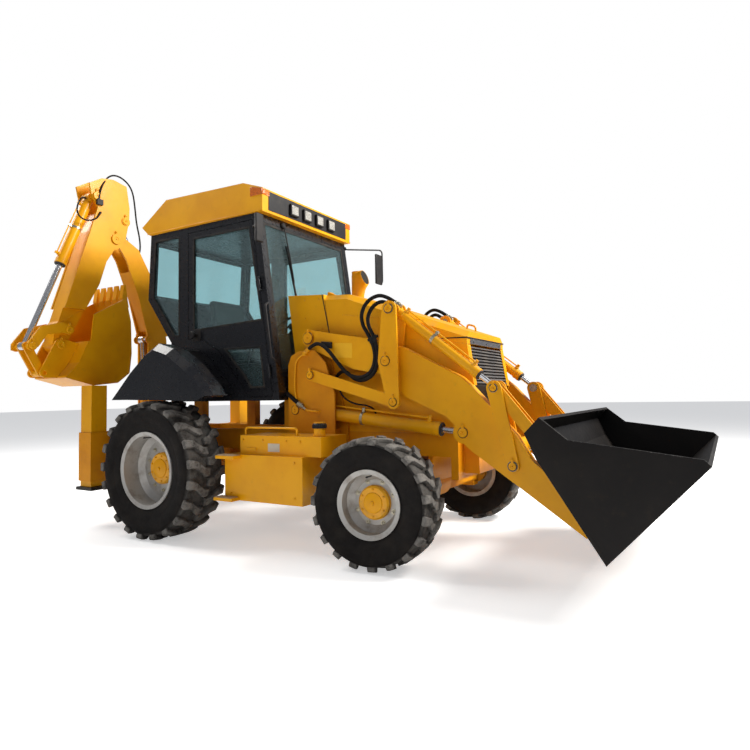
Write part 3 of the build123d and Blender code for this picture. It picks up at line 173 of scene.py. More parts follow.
def painted(name, base, dark, rough, coat=0.12, dust=0.35, worn=None, bump=0.06, wave=14.0, gloss=0.22):
    """Sprayed paint: slow colour drift, grime in patches, dust on what faces up, worn edges and orange peel."""
    mat, tree, shader, place = new_finish(name)
    colour = blend_colour(tree, ramp(tree, noise(tree, place, 2.3, 5.0), 0.35, 0.72), base, dark)
    stains = ramp(tree, noise(tree, place, wave, 8.0, 0.68), 0.56, 0.80)
    colour = blend_colour(tree, scaled(tree, stains, 0.30 * dust + 0.10), colour, rgb(0.09, 0.055, 0.02))
    up = add(tree, "ShaderNodeSeparateXYZ", Vector=tree.nodes.new("ShaderNodeNewGeometry").outputs["Normal"])
    lying = ramp(tree, up.outputs["Z"], 0.35, 1.0)
    cloud = ramp(tree, noise(tree, place, 7.0, 6.0, 0.62), 0.38, 0.68)
    powder = scaled(tree, scaled(tree, lying, cloud), dust)
    colour = blend_colour(tree, powder, colour, DUST)
    if worn:
        chips = ramp(tree, noise(tree, place, 55.0, 4.0, 0.6), 0.50, 0.62)
        colour = blend_colour(tree, scaled(tree, scaled(tree, edge_mask(tree, 0.006), chips), 0.8), colour, worn)
    patchy = scaled(tree, noise(tree, place, 26.0, 4.0), 0.22, rough - 0.08)
    wire(tree, shader, Base_Color=colour, Roughness=scaled(tree, powder, 0.5, patchy),
         Normal=bumped(tree, bump, 0.002, noise(tree, place, 210.0, 2.0)),
         Specular_IOR_Level=gloss, Coat_Weight=coat, Coat_Roughness=0.14)
    return mat


def metal(name, base, dark, rough, grease=0.0):
    """Turned, brushed or chromed steel with fine marks and some grease."""
    mat, tree, shader, place = new_finish(name)
    marks = noise(tree, place, 90.0, 5.0, 0.6)
    colour = blend_colour(tree, ramp(tree, marks, 0.3, 0.75), base, dark)
    if grease:
        smear = scaled(tree, ramp(tree, noise(tree, place, 11.0, 5.0), 0.45, 0.7), grease)
        colour = blend_colour(tree, smear, colour, rgb(0.03, 0.024, 0.016))
    wire(tree, shader, Base_Color=colour, Roughness=scaled(tree, marks, 0.2, rough - 0.08), Metallic=0.9,
         Normal=bumped(tree, 0.12, 0.0006, marks))
    return mat


def rubber(name, base, dusty, dust):
    """Tyre rubber and hose rubber: matt, with dust where the mesh says that it rubs the ground."""
    mat, tree, shader, place = new_finish(name)
    worn = tree.nodes.new("ShaderNodeAttribute")
    worn.attribute_name = "worn"
    cloud = ramp(tree, noise(tree, place, 16.0, 7.0, 0.65), 0.25, 0.62)
    fine = ramp(tree, noise(tree, place, 70.0, 4.0, 0.6), 0.2, 0.7)
    share = scaled(tree, scaled(tree, worn.outputs["Fac"], dust), scaled(tree, cloud, 0.75, scaled(tree, fine, 0.3)))
    tint = blend_colour(tree, ramp(tree, noise(tree, place, 6.0, 5.0), 0.4, 0.75), base, rgb(0.016, 0.013, 0.011))
    wire(tree, shader, Base_Color=blend_colour(tree, share, tint, dusty), Roughness=scaled(tree, fine, 0.2, 0.62),
         Normal=bumped(tree, 0.25, 0.002, noise(tree, place, 160.0, 4.0)), Specular_IOR_Level=0.12)
    return mat


def plastic(name, base, rough, dust):
    """Moulded plastic: fine leather grain and a thin film of dust."""
    mat, tree, shader, place = new_finish(name)
    film = scaled(tree, ramp(tree, noise(tree, place, 8.0, 6.0, 0.6), 0.35, 0.75), dust)
    cells = add(tree, "ShaderNodeTexVoronoi", Vector=place, Scale=340.0)
    wire(tree, shader, Base_Color=blend_colour(tree, film, base, DUST),
         Roughness=scaled(tree, noise(tree, place, 30.0, 3.0), 0.2, rough - 0.1),
         Normal=bumped(tree, 0.2, 0.0008, cells.outputs["Distance"]), Specular_IOR_Level=0.25)
    return mat


def fabric(name, base, dark):
    """Woven seat cloth: crossed threads and slow fading."""
    mat, tree, shader, place = new_finish(name)
    threads = []
    for direction in ("X", "Z"):
        wave = add(tree, "ShaderNodeTexWave", Vector=place, Scale=130.0, Distortion=0.4)
        wave.bands_direction = direction
        threads.append(wave.outputs["Fac"])
    weave = scaled(tree, *threads)
    colour = blend_colour(tree, ramp(tree, noise(tree, place, 9.0, 5.0), 0.3, 0.8), base, dark)
    wire(tree, shader, Base_Color=blend_colour(tree, scaled(tree, weave, 0.4), colour, dark),
         Normal=bumped(tree, 0.5, 0.001, weave), Roughness=0.9, Sheen_Weight=0.3)
    return mat


def glazing(name, tint):
    """Tinted safety glass with a faint dusty film."""
    mat, tree, shader, place = new_finish(name)
    film = ramp(tree, noise(tree, place, 5.0, 6.0, 0.6), 0.45, 0.85)
    wire(tree, shader, Base_Color=blend_colour(tree, scaled(tree, film, 0.12), tint, rgb(0.55, 0.56, 0.52)),
         Roughness=scaled(tree, film, 0.06, 0.02), Transmission_Weight=0.96, IOR=1.45)
    return mat


def lens(name, base, cells=160.0):
    """A moulded lamp lens with small prisms."""
    mat, tree, shader, place = new_finish(name)
    prisms = add(tree, "ShaderNodeTexVoronoi", Vector=place, Scale=cells).outputs["Distance"]
    deep = rgb(*(c * 0.55 for c in base[:3]))
    wire(tree, shader, Base_Color=blend_colour(tree, ramp(tree, prisms, 0.2, 0.7), base, deep),
         Normal=bumped(tree, 0.5, 0.002, prisms), Roughness=0.12, Coat_Weight=0.6)
    return mat


def two_tone(name, centre, axis, radius, inside, outside):
    """A wheel's paint: one colour within a radius of its axle, another outside it, both dusty and rubbed."""
    mat, tree, shader, place = new_finish(name)
    offset = vector_node(tree, "SUBTRACT", place, centre)[0]
    reach = vector_node(tree, "LENGTH", vector_node(tree, "CROSS_PRODUCT", offset, axis)[0])["Value"]
    share = ramp(tree, reach, radius - 0.0005, radius + 0.0005)
    stains = ramp(tree, noise(tree, place, 9.0, 7.0, 0.68), 0.42, 0.78)
    colour = blend_colour(tree, share, inside, outside)
    wire(tree, shader, Base_Color=blend_colour(tree, scaled(tree, stains, 0.55), colour, rgb(0.16, 0.115, 0.07)),
         Roughness=scaled(tree, stains, 0.3, 0.35), Metallic=scaled(tree, share, 0.35),
         Normal=bumped(tree, 0.08, 0.002, noise(tree, place, 150.0, 3.0)))
    return mat


YELLOW = rgb(0.880, 0.405, 0.002)
YELLOW_DEEP = rgb(0.780, 0.330, 0.002)
FRAME_YELLOW = rgb(0.760, 0.300, 0.002)
SILVER = rgb(0.44, 0.43, 0.41)
PRIMER = rgb(0.20, 0.13, 0.07)

finishes = {
    "yellow_paint": painted("yellow_paint_finish", YELLOW, YELLOW_DEEP, 0.36, worn=PRIMER),
    "frame_paint": painted("frame_paint_finish", FRAME_YELLOW, rgb(0.58, 0.20, 0.002), 0.46, coat=0.05, dust=0.5,
                           worn=PRIMER),
    "black_paint": painted("black_paint_finish", rgb(0.006, 0.0065, 0.009), rgb(0.010, 0.010, 0.012), 0.26, coat=0.35,
                           dust=0.05, bump=0.04, gloss=0.3),
    "bucket_black": painted("bucket_black_finish", rgb(0.006, 0.005, 0.005), rgb(0.011, 0.009, 0.008), 0.42, coat=0.04,
                            dust=0.05, worn=rgb(0.20, 0.19, 0.18), gloss=0.15),
    "tyre_rubber": rubber("tyre_rubber_finish", rgb(0.007, 0.006, 0.006), rgb(0.40, 0.38, 0.35), dust=0.45),
    "bright_steel": metal("bright_steel_finish", rgb(0.80, 0.80, 0.82), rgb(0.66, 0.66, 0.69), 0.16, grease=0.15),
    "pin_steel": metal("pin_steel_finish", rgb(0.46, 0.45, 0.43), rgb(0.28, 0.26, 0.24), 0.38, grease=0.6),
    "dark_casting": painted("dark_casting_finish", rgb(0.05, 0.05, 0.052), rgb(0.035, 0.033, 0.03), 0.62, coat=0.0,
                            dust=0.5, bump=0.3),
    "glass": glazing("glass_finish", rgb(0.52, 0.72, 0.75)),
    "black_plastic": plastic("black_plastic_finish", rgb(0.010, 0.010, 0.012), 0.5, dust=0.05),
    "grille_dark": plastic("grille_dark_finish", rgb(0.012, 0.010, 0.008), 0.55, dust=0.12),
}
amber = lens("amber_lens_finish", rgb(0.86, 0.19, 0.01))
clear_lens = lens("clear_lens_finish", rgb(0.55, 0.54, 0.50), 110.0)
mirror_face = metal("mirror_face_finish", rgb(0.86, 0.88, 0.90), rgb(0.80, 0.82, 0.84), 0.10)
seat_cloth = fabric("seat_cloth_finish", rgb(0.045, 0.052, 0.048), rgb(0.020, 0.023, 0.022))
hose_rubber = rubber("hose_rubber_finish", rgb(0.015, 0.015, 0.016), rgb(0.16, 0.14, 0.12), dust=0.2)
step_grip = painted("step_grip_finish", rgb(0.62, 0.47, 0.31), rgb(0.50, 0.37, 0.24), 0.8, coat=0.0, dust=0.6, bump=0.6)
zinc = metal("zinc_finish", rgb(0.62, 0.58, 0.46), rgb(0.42, 0.38, 0.28), 0.35, grease=0.2)
seal_rubber = plastic("seal_rubber_finish", rgb(0.010, 0.010, 0.011), 0.7, dust=0.08)
# dark sooty metal for the exhaust's mouth, also painted shade of the pipe's hollow
mouth_soot_and_shade = metal("exhaust_tip_finish", rgb(0.035, 0.032, 0.030), rgb(0.015, 0.014, 0.013), 0.6, grease=0.5)
plate_blank = painted("blank_plate_finish", rgb(0.95, 0.52, 0.02), rgb(0.85, 0.42, 0.015), 0.5, coat=0.0)
header_grey = metal("header_grey_finish", rgb(0.20, 0.20, 0.21), rgb(0.12, 0.12, 0.13), 0.5)
louvre_grey = painted("louvre_finish", rgb(0.11, 0.105, 0.105), rgb(0.06, 0.055, 0.055), 0.55, coat=0.0)
label_pale = painted("pale_plate_finish", rgb(0.62, 0.56, 0.46), rgb(0.50, 0.44, 0.36), 0.6, coat=0.0)


def paint_node(node, material):
    """Gives a CAD node its finish."""
    mesh = nodes[node].data
    mesh.materials.clear()
    mesh.materials.append(material)


# ---------------------------------------------------------------- mesh helpers
def ring_of(count, start=0.0):
    """Angles spread evenly round a circle."""
    return [start + 2 * math.pi * k / count for k in range(count)]


def bridge(bm, low, high):
    """Faces between two closed rings of vertices."""
    for k in range(len(low)):
        n = (k + 1) % len(low)
        bm.faces.new((low[k], low[n], high[n], high[k]))


def frame_of(axis):
    """Two unit vectors square to an axis."""
    axis = Vector(axis).normalized()
    guide = Vector((0, 0, 1)) if abs(axis.z) < 0.9 else Vector((1, 0, 0))
    first = axis.cross(guide).normalized()
    return axis, first, axis.cross(first)


def lathe(bm, at, axis, profile, steps=40, spin=0.0):
    """Turns a profile of (distance along the axis, radius) round the axis; a radius of 0 closes an end."""
    axis, u, v = frame_of(axis)
    rings = []
    for along, r in profile:
        centre = Vector(at) + axis * along
        if r == 0:
            rings.append([bm.verts.new(centre)])
        else:
            rings.append([bm.verts.new(centre + (u * math.cos(a) + v * math.sin(a)) * r) for a in ring_of(steps, spin)])
    for a, b in zip(rings, rings[1:]):
        for k in range(steps):
            n = (k + 1) % steps
            if len(a) == 1 and len(b) > 1:
                bm.faces.new((a[0], b[k], b[n]))
            elif len(b) == 1 and len(a) > 1:
                bm.faces.new((a[k], b[0], a[n]))
            elif len(a) > 1:
                bm.faces.new((a[k], b[k], b[n], a[n]))
    return rings


def boss(bm, at, axis, r, low, high, steps=20):
    """A plain cylinder, or a six-sided nut, between two places along its axis."""
    lathe(bm, at, axis, [(low, 0), (low, r), (high, r), (high, 0)], steps)


def collar(bm, at, axis, inner, outer, low, high, steps=40):
    """A plain ring between two places along its axis."""
    lathe(bm, at, axis, [(low, inner), (low, outer), (high, outer), (high, inner)], steps)


def hex_bolt(bm, at, axis, r, spin=0.0):
    """A hexagon head with a chamfered top, on a washer."""
    boss(bm, at, axis, r * 1.45, 0, r * 0.22)
    lathe(bm, at, axis, [(r * 0.22, 0), (r * 0.22, r), (r * 0.84, r), (r * 0.94, r * 0.82), (r * 0.94, 0)], 6, spin)


def slab(bm, points, thick):
    """A flat plate from an outline of points in space, thickened along the vector."""
    low = [bm.verts.new(p) for p in points]
    high = [bm.verts.new(Vector(p) + Vector(thick)) for p in points]
    bm.faces.new(low[::-1])
    bm.faces.new(high)
    bridge(bm, low, high)


def plate(bm, y, outline, thick):
    """A plate at lateral place y from an outline of (forward, up), thickened sideways."""
    slab(bm, [(x, y, z) for x, z in outline], (0, thick, 0))


def cross_plate(bm, x, span, low, high, thick):
    """A plate across the machine at x, from one lateral place to another and from low to high."""
    y0, y1 = span
    slab(bm, [(x, y0, low), (x, y1, low), (x, y1, high), (x, y0, high)], (thick, 0, 0))


def block(bm, low, high):
    """A box between two corners."""
    (x0, y0, z0), (x1, y1, z1) = low, high
    slab(bm, [(x0, y0, z0), (x1, y0, z0), (x1, y1, z0), (x0, y1, z0)], (0, 0, z1 - z0))


def loop_frame(bm, points, normal, width, thick):
    """A flat strip that follows a closed outline, drawn in by its width."""
    normal = Vector(normal).normalized()
    points = [Vector(p) for p in points]
    inner = []
    for k, p in enumerate(points):
        before = (p - points[k - 1]).normalized()
        after = (points[(k + 1) % len(points)] - p).normalized()
        a, b = normal.cross(before), normal.cross(after)
        mitre = (a + b).normalized()
        inner.append(p + mitre * (width / max(0.3, mitre.dot(a))))
    rise = normal * thick
    rings = [points, [p + rise for p in points], [p + rise for p in inner], inner]
    verts = [[bm.verts.new(p) for p in ring] for ring in rings]
    for a, b in zip(verts, verts[1:] + verts[:1]):
        bridge(bm, a, b)


def tube_mesh(bm, points, r, steps=12):
    """A pipe along points in space, mitred at the corners and closed at the ends."""
    points = [Vector(p) for p in points]
    up = None
    rings = []
    for k, p in enumerate(points):
        before = (p - points[k - 1]).normalized() if k else None
        after = (points[k + 1] - p).normalized() if k + 1 < len(points) else None
        along = ((before or after) + (after or before)).normalized()
        if up is None:
            up = frame_of(along)[1]
        up = (up - along * up.dot(along)).normalized()
        across = along.cross(up)
        reach = r / max(0.5, along.dot(after)) if before and after else r
        rings.append([bm.verts.new(p + (up * math.cos(a) + across * math.sin(a)) * reach) for a in ring_of(steps)])
    for a, b in zip(rings, rings[1:]):
        bridge(bm, a, b)
    bm.faces.new(rings[0][::-1])
    bm.faces.new(rings[-1])


def rounded_path(points, r, steps=5):
    """The points with each corner turned into an arc of about radius r."""
    points = [Vector(p) for p in points]
    out = [points[0]]
    for a, b, c in zip(points, points[1:], points[2:]):
        back, on = (a - b), (c - b)
        reach = min(r, back.length * 0.45, on.length * 0.45)
        start, end = b + back.normalized() * reach, b + on.normalized() * reach
        for k in range(steps + 1):
            t = k / steps
            out.append(start * (1 - t) ** 2 + b * 2 * t * (1 - t) + end * t * t)
    return out + [points[-1]]


def finish_piece(bm, name, body, material, slot=None, bevel=0.0, segments=2, smooth=38.0, bend=None):
    """Turns the gathered geometry into a piece that rides on a body, or, given a bend, whose second body and places are
    not used, keeps its place in the world and rides on no body; a slot's name alone brings its own finish."""
    if not slot:
        material, slot = finishes[material], material
    bmesh.ops.recalc_face_normals(bm, faces=bm.faces)
    mesh = bpy.data.meshes.new(name)
    bm.to_mesh(mesh)
    bm.free()
    obj = bpy.data.objects.new(name, mesh)
    scene.collection.objects.link(obj)
    mesh.materials.append(material)
    if bevel:
        mod = obj.modifiers.new("edges", "BEVEL")
        mod.width = bevel
        mod.segments = segments
        mod.limit_method = "ANGLE"
        mod.angle_limit = math.radians(35)
        mod.use_clamp_overlap = True
    mesh.shade_smooth()
    mesh.set_sharp_from_angle(angle=math.radians(smooth))
    if bend:
        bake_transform(obj)
    else:
        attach(obj, body)
    return obj


# ---------------------------------------------------------------- wheels
# one tread bar from near the middle to low on the shoulder: across, around, half width, height
LUG_ROWS = [(-0.03, 0.000, 0.34, 1.0), (0.20, 0.000, 0.40, 1.0), (0.34, 0.13, 0.36, 1.0), (0.62, 0.40, 0.33, 1.0),
            (0.80, 0.44, 0.36, 1.0), (0.955, 0.46, 0.40, 0.93), (1.0, 0.46, 0.40, 0.70), (0.985, 0.46, 0.38, -0.45)]


def tyre(name, node, body, centre, axis, w):
    """A tyre with a bulged wall, bead and rim guard rings, and a bar tread, sized by its row of WHEELS."""
    bm = bmesh.new()
    half = w["width"] / 2
    ground = w["radius"] - w["height"]
    belly = (w["rim_r"] + w["radius"]) / 2
    bead_w, bead_r = w["rim_w"] / 2, w["rim_r"]
    one = [(bead_w - 0.012, bead_r - 0.015), (bead_w + 0.006, bead_r + 0.012), (bead_w + 0.016, bead_r + 0.028),
           (half * 0.90, belly - 0.052), (half * 0.905, belly - 0.046), (half * 0.965, belly - 0.02),
           (half * 0.992, belly + 0.012), (half * 0.985, belly + 0.040), (half * 0.962, belly + 0.058),
           (half * 0.955, belly + 0.060), (half * 0.935, ground - 0.040), (half * 0.86, ground - 0.013),
           (half * 0.55, ground - 0.003), (0.0, ground)]
    rings = lathe(bm, centre, axis, one + [(-a, r) for a, r in reversed(one[:-1])], 96)
    bridge(bm, rings[-1], rings[0])
    axis, u, v = frame_of(axis)
    worn = bm.verts.layers.float.new("worn")
    for vert in bm.verts:
        reach = (vert.co - centre).cross(axis).length
        vert[worn] = 0.45 if reach > ground - 0.02 else 0.03
    pitch = 2 * math.pi / w["lugs"]

    def spot(across, angle, r):
        return centre + axis * across + (u * math.cos(angle) + v * math.sin(angle)) * r

    for edge, phase in ((-half, 0.0), (half, 0.5)):
        for k in range(w["lugs"]):
            rows = []
            for across, around, wide, h in LUG_ROWS:
                a = edge * across
                drop = 0.014 * max(0.0, abs(across) - 0.55) ** 1.5 / 0.3
                top = ground + w["height"] * h * (1.0 if h > 0 else 1.6) - (drop if h > 0 else 0.0)
                low = min(top - 0.002, ground - 0.012) if h > 0 else top - 0.004
                mid = pitch * (k + phase + around)
                foot, head = pitch * wide * 0.62, pitch * wide * 0.50 * (1.0 if h >= 0.9 else 0.94)
                inward = a * (0.93 if abs(across) > 0.9 else 1.0)
                rows.append([spot(inward, mid - foot, low), spot(a, mid - head, top),
                             spot(a, mid + head, top), spot(inward, mid + foot, low)])
            verts = [[bm.verts.new(p) for p in row] for row in rows]
            for row in verts:
                for j, vert in enumerate(row):
                    vert[worn] = 1.0 if j in (1, 2) else 0.3
            for a, b in zip(verts, verts[1:]):
                for j in range(3):
                    bm.faces.new((a[j], a[j + 1], b[j + 1], b[j]))
            bm.faces.new(verts[0])
            bm.faces.new(verts[-1][::-1])
    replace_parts(finish_piece(bm, name, body, "tyre_rubber", bevel=0.004, segments=1, smooth=35), node)


def hub_bolts(name, body, at, axis, ring, count, size, material, slot=None):
    """A circle of bolts with their stud ends on the face of a wheel or hub."""
    bm = bmesh.new()
    axis, u, v = frame_of(axis)
    for a in ring_of(count, math.pi / count):
        spot = at + (u * math.cos(a) + v * math.sin(a)) * ring
        hex_bolt(bm, spot, axis, size, a)
        lathe(bm, spot + axis * size, axis,
              [(0, 0), (0, size * 0.5), (size * 0.6, size * 0.5), (size * 0.75, size * 0.35), (size * 0.75, 0)], 12)
    finish_piece(bm, name, body, material, slot)


joints = {j["name"]: j for j in frame["joints"]}
WHEELS = {
    "front": dict(radius=0.460, width=0.350, rim_r=0.241, rim_w=0.267, hub_r=0.118, recess=0.070, lugs=19, height=0.027,
                  nuts=8, nut_ring=0.034, screws=6),
    "rear": dict(radius=0.597, width=0.410, rim_r=0.330, rim_w=0.330, hub_r=0.137, recess=0.145, lugs=21, height=0.032,
                 nuts=10, nut_ring=0.055, screws=9)}
for end, w in WHEELS.items():
    for sign, hand in SIDES:
        body = f"{end}_wheel_{hand}"
        axis = Vector(joints[body]["axis"]).normalized() * sign
        tyre_low, tyre_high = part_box(f"{end}_tyre_{hand}")
        centre = (tyre_low + tyre_high) / 2
        tyre(f"{end}_tread_{hand}", f"{end}_tyre_{hand}", body, centre, axis, w)
        hub_r, rim_edge = w["hub_r"], w["rim_w"] / 2
        paint_node(f"{end}_rim_{hand}", two_tone(f"{end}_{hand}_wheel_paint", tuple(centre), tuple(axis), hub_r + 0.003,
                                                 YELLOW, SILVER))
        face = centre + axis * (rim_edge - w["recess"])
        hub_bolts(f"{end}_wheel_nuts_{hand}", body, face - axis * 0.040, axis, hub_r + w["nut_ring"], w["nuts"], 0.013,
                  zinc, "pin_steel")
        hub_bolts(f"{end}_hub_screws_{hand}", body, face, axis, hub_r * 0.80, w["screws"], 0.007, "yellow_paint")
        bm = bmesh.new()
        lathe(bm, face, axis, [(0, 0), (0, hub_r * 0.62), (0.006, hub_r * 0.60), (0.012, hub_r * 0.48), (0.014, 0)], 40)
        lathe(bm, face + axis * 0.013, axis, [(0, 0), (0, 0.016), (0.010, 0.016), (0.012, 0.012), (0.012, 0)], 6)
        finish_piece(bm, f"{end}_hub_cap_{hand}", body, "yellow_paint")
        bm = bmesh.new()
        valve = centre + axis * (rim_edge - 0.02) + Vector((0, 0, w["rim_r"] - 0.050))
        lathe(bm, valve, axis,
              [(-0.03, 0), (-0.03, 0.005), (0.03, 0.005), (0.032, 0.0065), (0.048, 0.0065), (0.05, 0)], 12)
        finish_piece(bm, f"{end}_valve_{hand}", body, "black_plastic")

# ---------------------------------------------------------------- CAD nodes with their finishes
KEPT = {
    "yellow_paint": ["loader_arms", "bellcranks", "levelling_links", "levers", "bucket_links", "lift_barrels",
                     "tilt_barrels", "engine_cowl", "hood", "cab_roof", "tanks", "boom", "dipper", "hoe_bucket",
                     "hoe_rockers", "hoe_link", "boom_barrel", "dipper_barrel", "hoe_bucket_barrel", "swing_post"],
    "frame_paint": ["main_frame", "front_axle", "rear_axle", "knuckle_left", "knuckle_right", "rear_frame",
                    "side_carriage"],
    "black_paint": ["cab_frame", "door_left", "door_right", "fenders"],
    "bucket_black": ["loader_bucket"],
    "bright_steel": ["lift_rods", "tilt_rods", "boom_rod", "dipper_rod", "hoe_bucket_rod"],
    "pin_steel": ["tilt_pins", "lever_pins", "link_pins", "bucket_pins"],
    "dark_casting": ["engine"],
    "glass": ["cab_glass", "door_glass_left", "door_glass_right"],
    "black_plastic": ["operator_seat", "mirrors", "roof_lamps"],
    "grille_dark": ["grille"],
}
for finish, names in KEPT.items():
    for name in names:
        paint_node(name, finishes[finish])


def black_foot(name, base, level):
    """The base finish of a leg with a black foot plate up to a level."""
    mat = base.copy()
    mat.name = name
    tree = mat.node_tree
    shader = tree.nodes["Principled BSDF"]
    place = next(n for n in tree.nodes if n.type == "TEX_COORD").outputs["Object"]
    height = add(tree, "ShaderNodeSeparateXYZ", Vector=place).outputs["Z"]
    old = shader.inputs["Base Color"].links[0].from_socket
    share = ramp(tree, height, level + 0.004, level)
    wire(tree, shader, Base_Color=blend_colour(tree, share, old, rgb(0.012, 0.011, 0.010)))
    return mat


for _, hand in SIDES:
    paint_node(f"stabiliser_{hand}", black_foot(f"stabiliser_finish_{hand}", finishes["yellow_paint"], 0.375))

# ---------------------------------------------------------------- loader linkage: pin ends and the rams' pipes
def pin_end(bm, at, axis, across, r, keeper, bolt):
    """A pin's turned head with a grease nipple, its keeper plate (half width, height) and bolt (place, size)."""
    lathe(bm, at, axis,
          [(0, 0), (0, r), (0.006, r), (0.009, r - 0.003), (0.009, r * 0.45), (0.006, r * 0.40), (0.006, 0)], 36)
    lathe(bm, at + axis * 0.006, axis, [(0, 0), (0, 0.005), (0.007, 0.005), (0.011, 0.003), (0.013, 0)], 10)
    up = Vector((0, 0, 1))
    half, tall = keeper
    outline = ((-half, r * 0.8), (half, r * 0.8), (half, r + tall), (-half, r + tall))
    slab(bm, [at + across * a + up * b for a, b in outline], axis * 0.006)
    hex_bolt(bm, at + up * (r + bolt[0]) + axis * 0.006, axis, bolt[1])


PIN_ENDS = [     # body, pivot, how far out the pin's head stands, head radius
    ("chassis", ARM_PIVOT, 0.558, 0.046), ("bellcranks", CRANK_PIVOT, 0.629, 0.036),
    ("tilt_pins", CRANK_TOP, 0.637, 0.032), ("bellcranks", CRANK_LOW, 0.629, 0.030),
    ("chassis", LINK_REAR, 0.617, 0.030), ("link_pins", LEVER_TOP, 0.577, 0.024),
    ("lever_pins", LEVER_LOW, 0.577, 0.027), ("bucket_pins", BUCKET_PIVOT, 0.577, 0.030),
    ("loader_arms", LIFT_EYE, 0.550, 0.034), ("chassis", LIFT_BASE, 0.579, 0.036)]
for k, (body, pivot, out, r) in enumerate(PIN_ENDS):
    bm = bmesh.new()
    for sign in (-1, 1):
        pin_end(bm, side(sign * out)(*pivot), Vector((0, sign, 0)), Vector((1, 0, 0)), r, (0.010, 0.030),
                (0.020, 0.008))
    finish_piece(bm, f"pin_heads_{k}_{body}", body, "yellow_paint", bevel=0.001)
    bm = bmesh.new()                                        # painted shade: a dark ring in the gap round the pin's head
    for sign in (-1, 1):
        collar(bm, side(sign * (out - 0.0003))(*pivot), (0, sign, 0), r + 0.001, r + 0.006, 0, 0.0015, 36)
    finish_piece(bm, f"pin_shade_rings_{k}_{body}", body, seal_rubber, "black_plastic")


def side_of(a, b, t, off):
    """A point t metres from a towards b, both (forward, up), and off to the upper side of that line."""
    length = math.hypot(b[0] - a[0], b[1] - a[1])
    x, z = (b[0] - a[0]) / length, (b[1] - a[1]) / length
    return (a[0] + x * t - z * off, a[1] + z * t + x * off)


def ram_fittings(name, body, place, a, b, r, mouth, ports, pipe_r):
    """A cylinder's gland nut, weld beads, ports with their blocks, a steel feed pipe and its clamp."""
    start = place(*a)
    axis = (place(*b) - start).normalized()
    bm = bmesh.new()
    for k in range(2):
        at = mouth - 0.052 + 0.034 * k
        collar(bm, start, axis, r, r + 0.006, at, at + 0.014)
    lathe(bm, start + axis * 0.075, axis, [(0, r), (0.004, r + 0.004), (0.010, r + 0.004), (0.014, r)], 40)
    finish_piece(bm, f"{name}_beads", body, "yellow_paint")
    bm = bmesh.new()
    lathe(bm, start + axis * (mouth - 0.001), axis,
          [(0, 0.75 * r), (0, r + 0.001), (0.010, r + 0.001), (0.013, r - 0.004), (0.013, 0.62 * r)], 40)
    finish_piece(bm, f"{name}_gland", body, "dark_casting")
    bm = bmesh.new()
    near, far, off = ports
    p0 = place(*side_of(a, b, near, r))
    p1 = place(*side_of(a, b, far, r))
    out = (place(*side_of(a, b, near, r + 1.0)) - p0).normalized()
    path = [p0 + out * 0.002, p0 + out * off, p1 + out * off, p1 + out * 0.002]
    tube_mesh(bm, rounded_path(path, 0.05), pipe_r, 12)
    for spot in (p0, p1):
        lathe(bm, spot - out * 0.006, out, [(0, 0), (0, 0.019), (0.018, 0.019), (0.020, 0.017), (0.020, 0)], 24)
        boss(bm, spot, out, 0.014, 0.014, off + 0.020, 6)
    finish_piece(bm, f"{name}_pipe", body, "yellow_paint", smooth=50)
    bm = bmesh.new()
    mid = p0 + (p1 - p0) * 0.45
    collar(bm, mid - out * r, axis, r, r + 0.0035, -0.012, 0.012)
    across = axis.cross(out).normalized()
    corners = ((1, -1), (1, 1), (-1, 1), (-1, -1))
    slab(bm, [mid + across * i * 0.014 + axis * j * 0.012 - out * 0.002 for i, j in corners],
         out * (off + pipe_r + 0.006))
    hex_bolt(bm, mid + out * (off + pipe_r + 0.002), out, 0.007)
    finish_piece(bm, f"{name}_clamp", body, zinc, "pin_steel", bevel=0.001)


RAM_PLANE = 0.502           # middle plane of the loader's cylinders
for sign, hand in SIDES:
    ram_fittings(f"lift_ram_{hand}", "lift_barrels", side(sign * RAM_PLANE), LIFT_BASE, LIFT_EYE, 0.051, 1.342,
                 (0.16, 1.24, 0.022), pipe_r=0.008)
    ram_fittings(f"tilt_ram_{hand}", "tilt_barrels", side(sign * RAM_PLANE), CRANK_TOP, LEVER_TOP, 0.038, 0.863,
                 (0.09, 0.79, 0.020), pipe_r=0.006)

# ---------------------------------------------------------------- hood, grille, exhaust and cowl details
for sign, hand in SIDES:
    bm = bmesh.new()
    plate(bm, sign * (HOOD_SIDE + 0.0005), ((1.520, 1.905), (2.300, 1.800), (2.300, 1.793), (1.520, 1.897)),
          sign * 0.003)
    finish_piece(bm, f"hood_crease_{hand}", "hood", "yellow_paint", bevel=0.001)

GRILLE_HALF = 0.350
bm = bmesh.new()
LOUVRES = 12
for k in range(LOUVRES):
    t = k / (LOUVRES - 1)
    x, z = 2.6925 - 0.0480 * t, 1.300 + 0.272 * t
    slab(bm, [(x - 0.006, -GRILLE_HALF, z), (x + 0.008, -GRILLE_HALF, z - 0.011), (x + 0.008, GRILLE_HALF, z - 0.011),
              (x - 0.006, GRILLE_HALF, z)], (-0.002, 0, 0.004))
finish_piece(bm, "grille_louvres", "chassis", louvre_grey, "grille_dark", bevel=0.001, segments=1)
bm = bmesh.new()
for y0, y1 in ((-0.392, -GRILLE_HALF), (GRILLE_HALF, 0.392)):
    plate(bm, y0, ((2.690, 1.272), (2.700, 1.272), (2.653, 1.586), (2.640, 1.586)), y1 - y0)
finish_piece(bm, "grille_columns", "chassis", "yellow_paint", bevel=0.004)
bm = bmesh.new()                                            # header plate over the louvres, on the hood's front
cross_plate(bm, 2.6495, (-GRILLE_HALF, GRILLE_HALF), 1.592, 1.631, 0.004)
for y in (-0.29, 0.0, 0.29):
    hex_bolt(bm, (2.6535, y, 1.612), (1, 0, 0), 0.006)
finish_piece(bm, "hood_header", "hood", header_grey, "grille_dark", bevel=0.001)
bm = bmesh.new()                                            # dark edge trim round the hood's nose
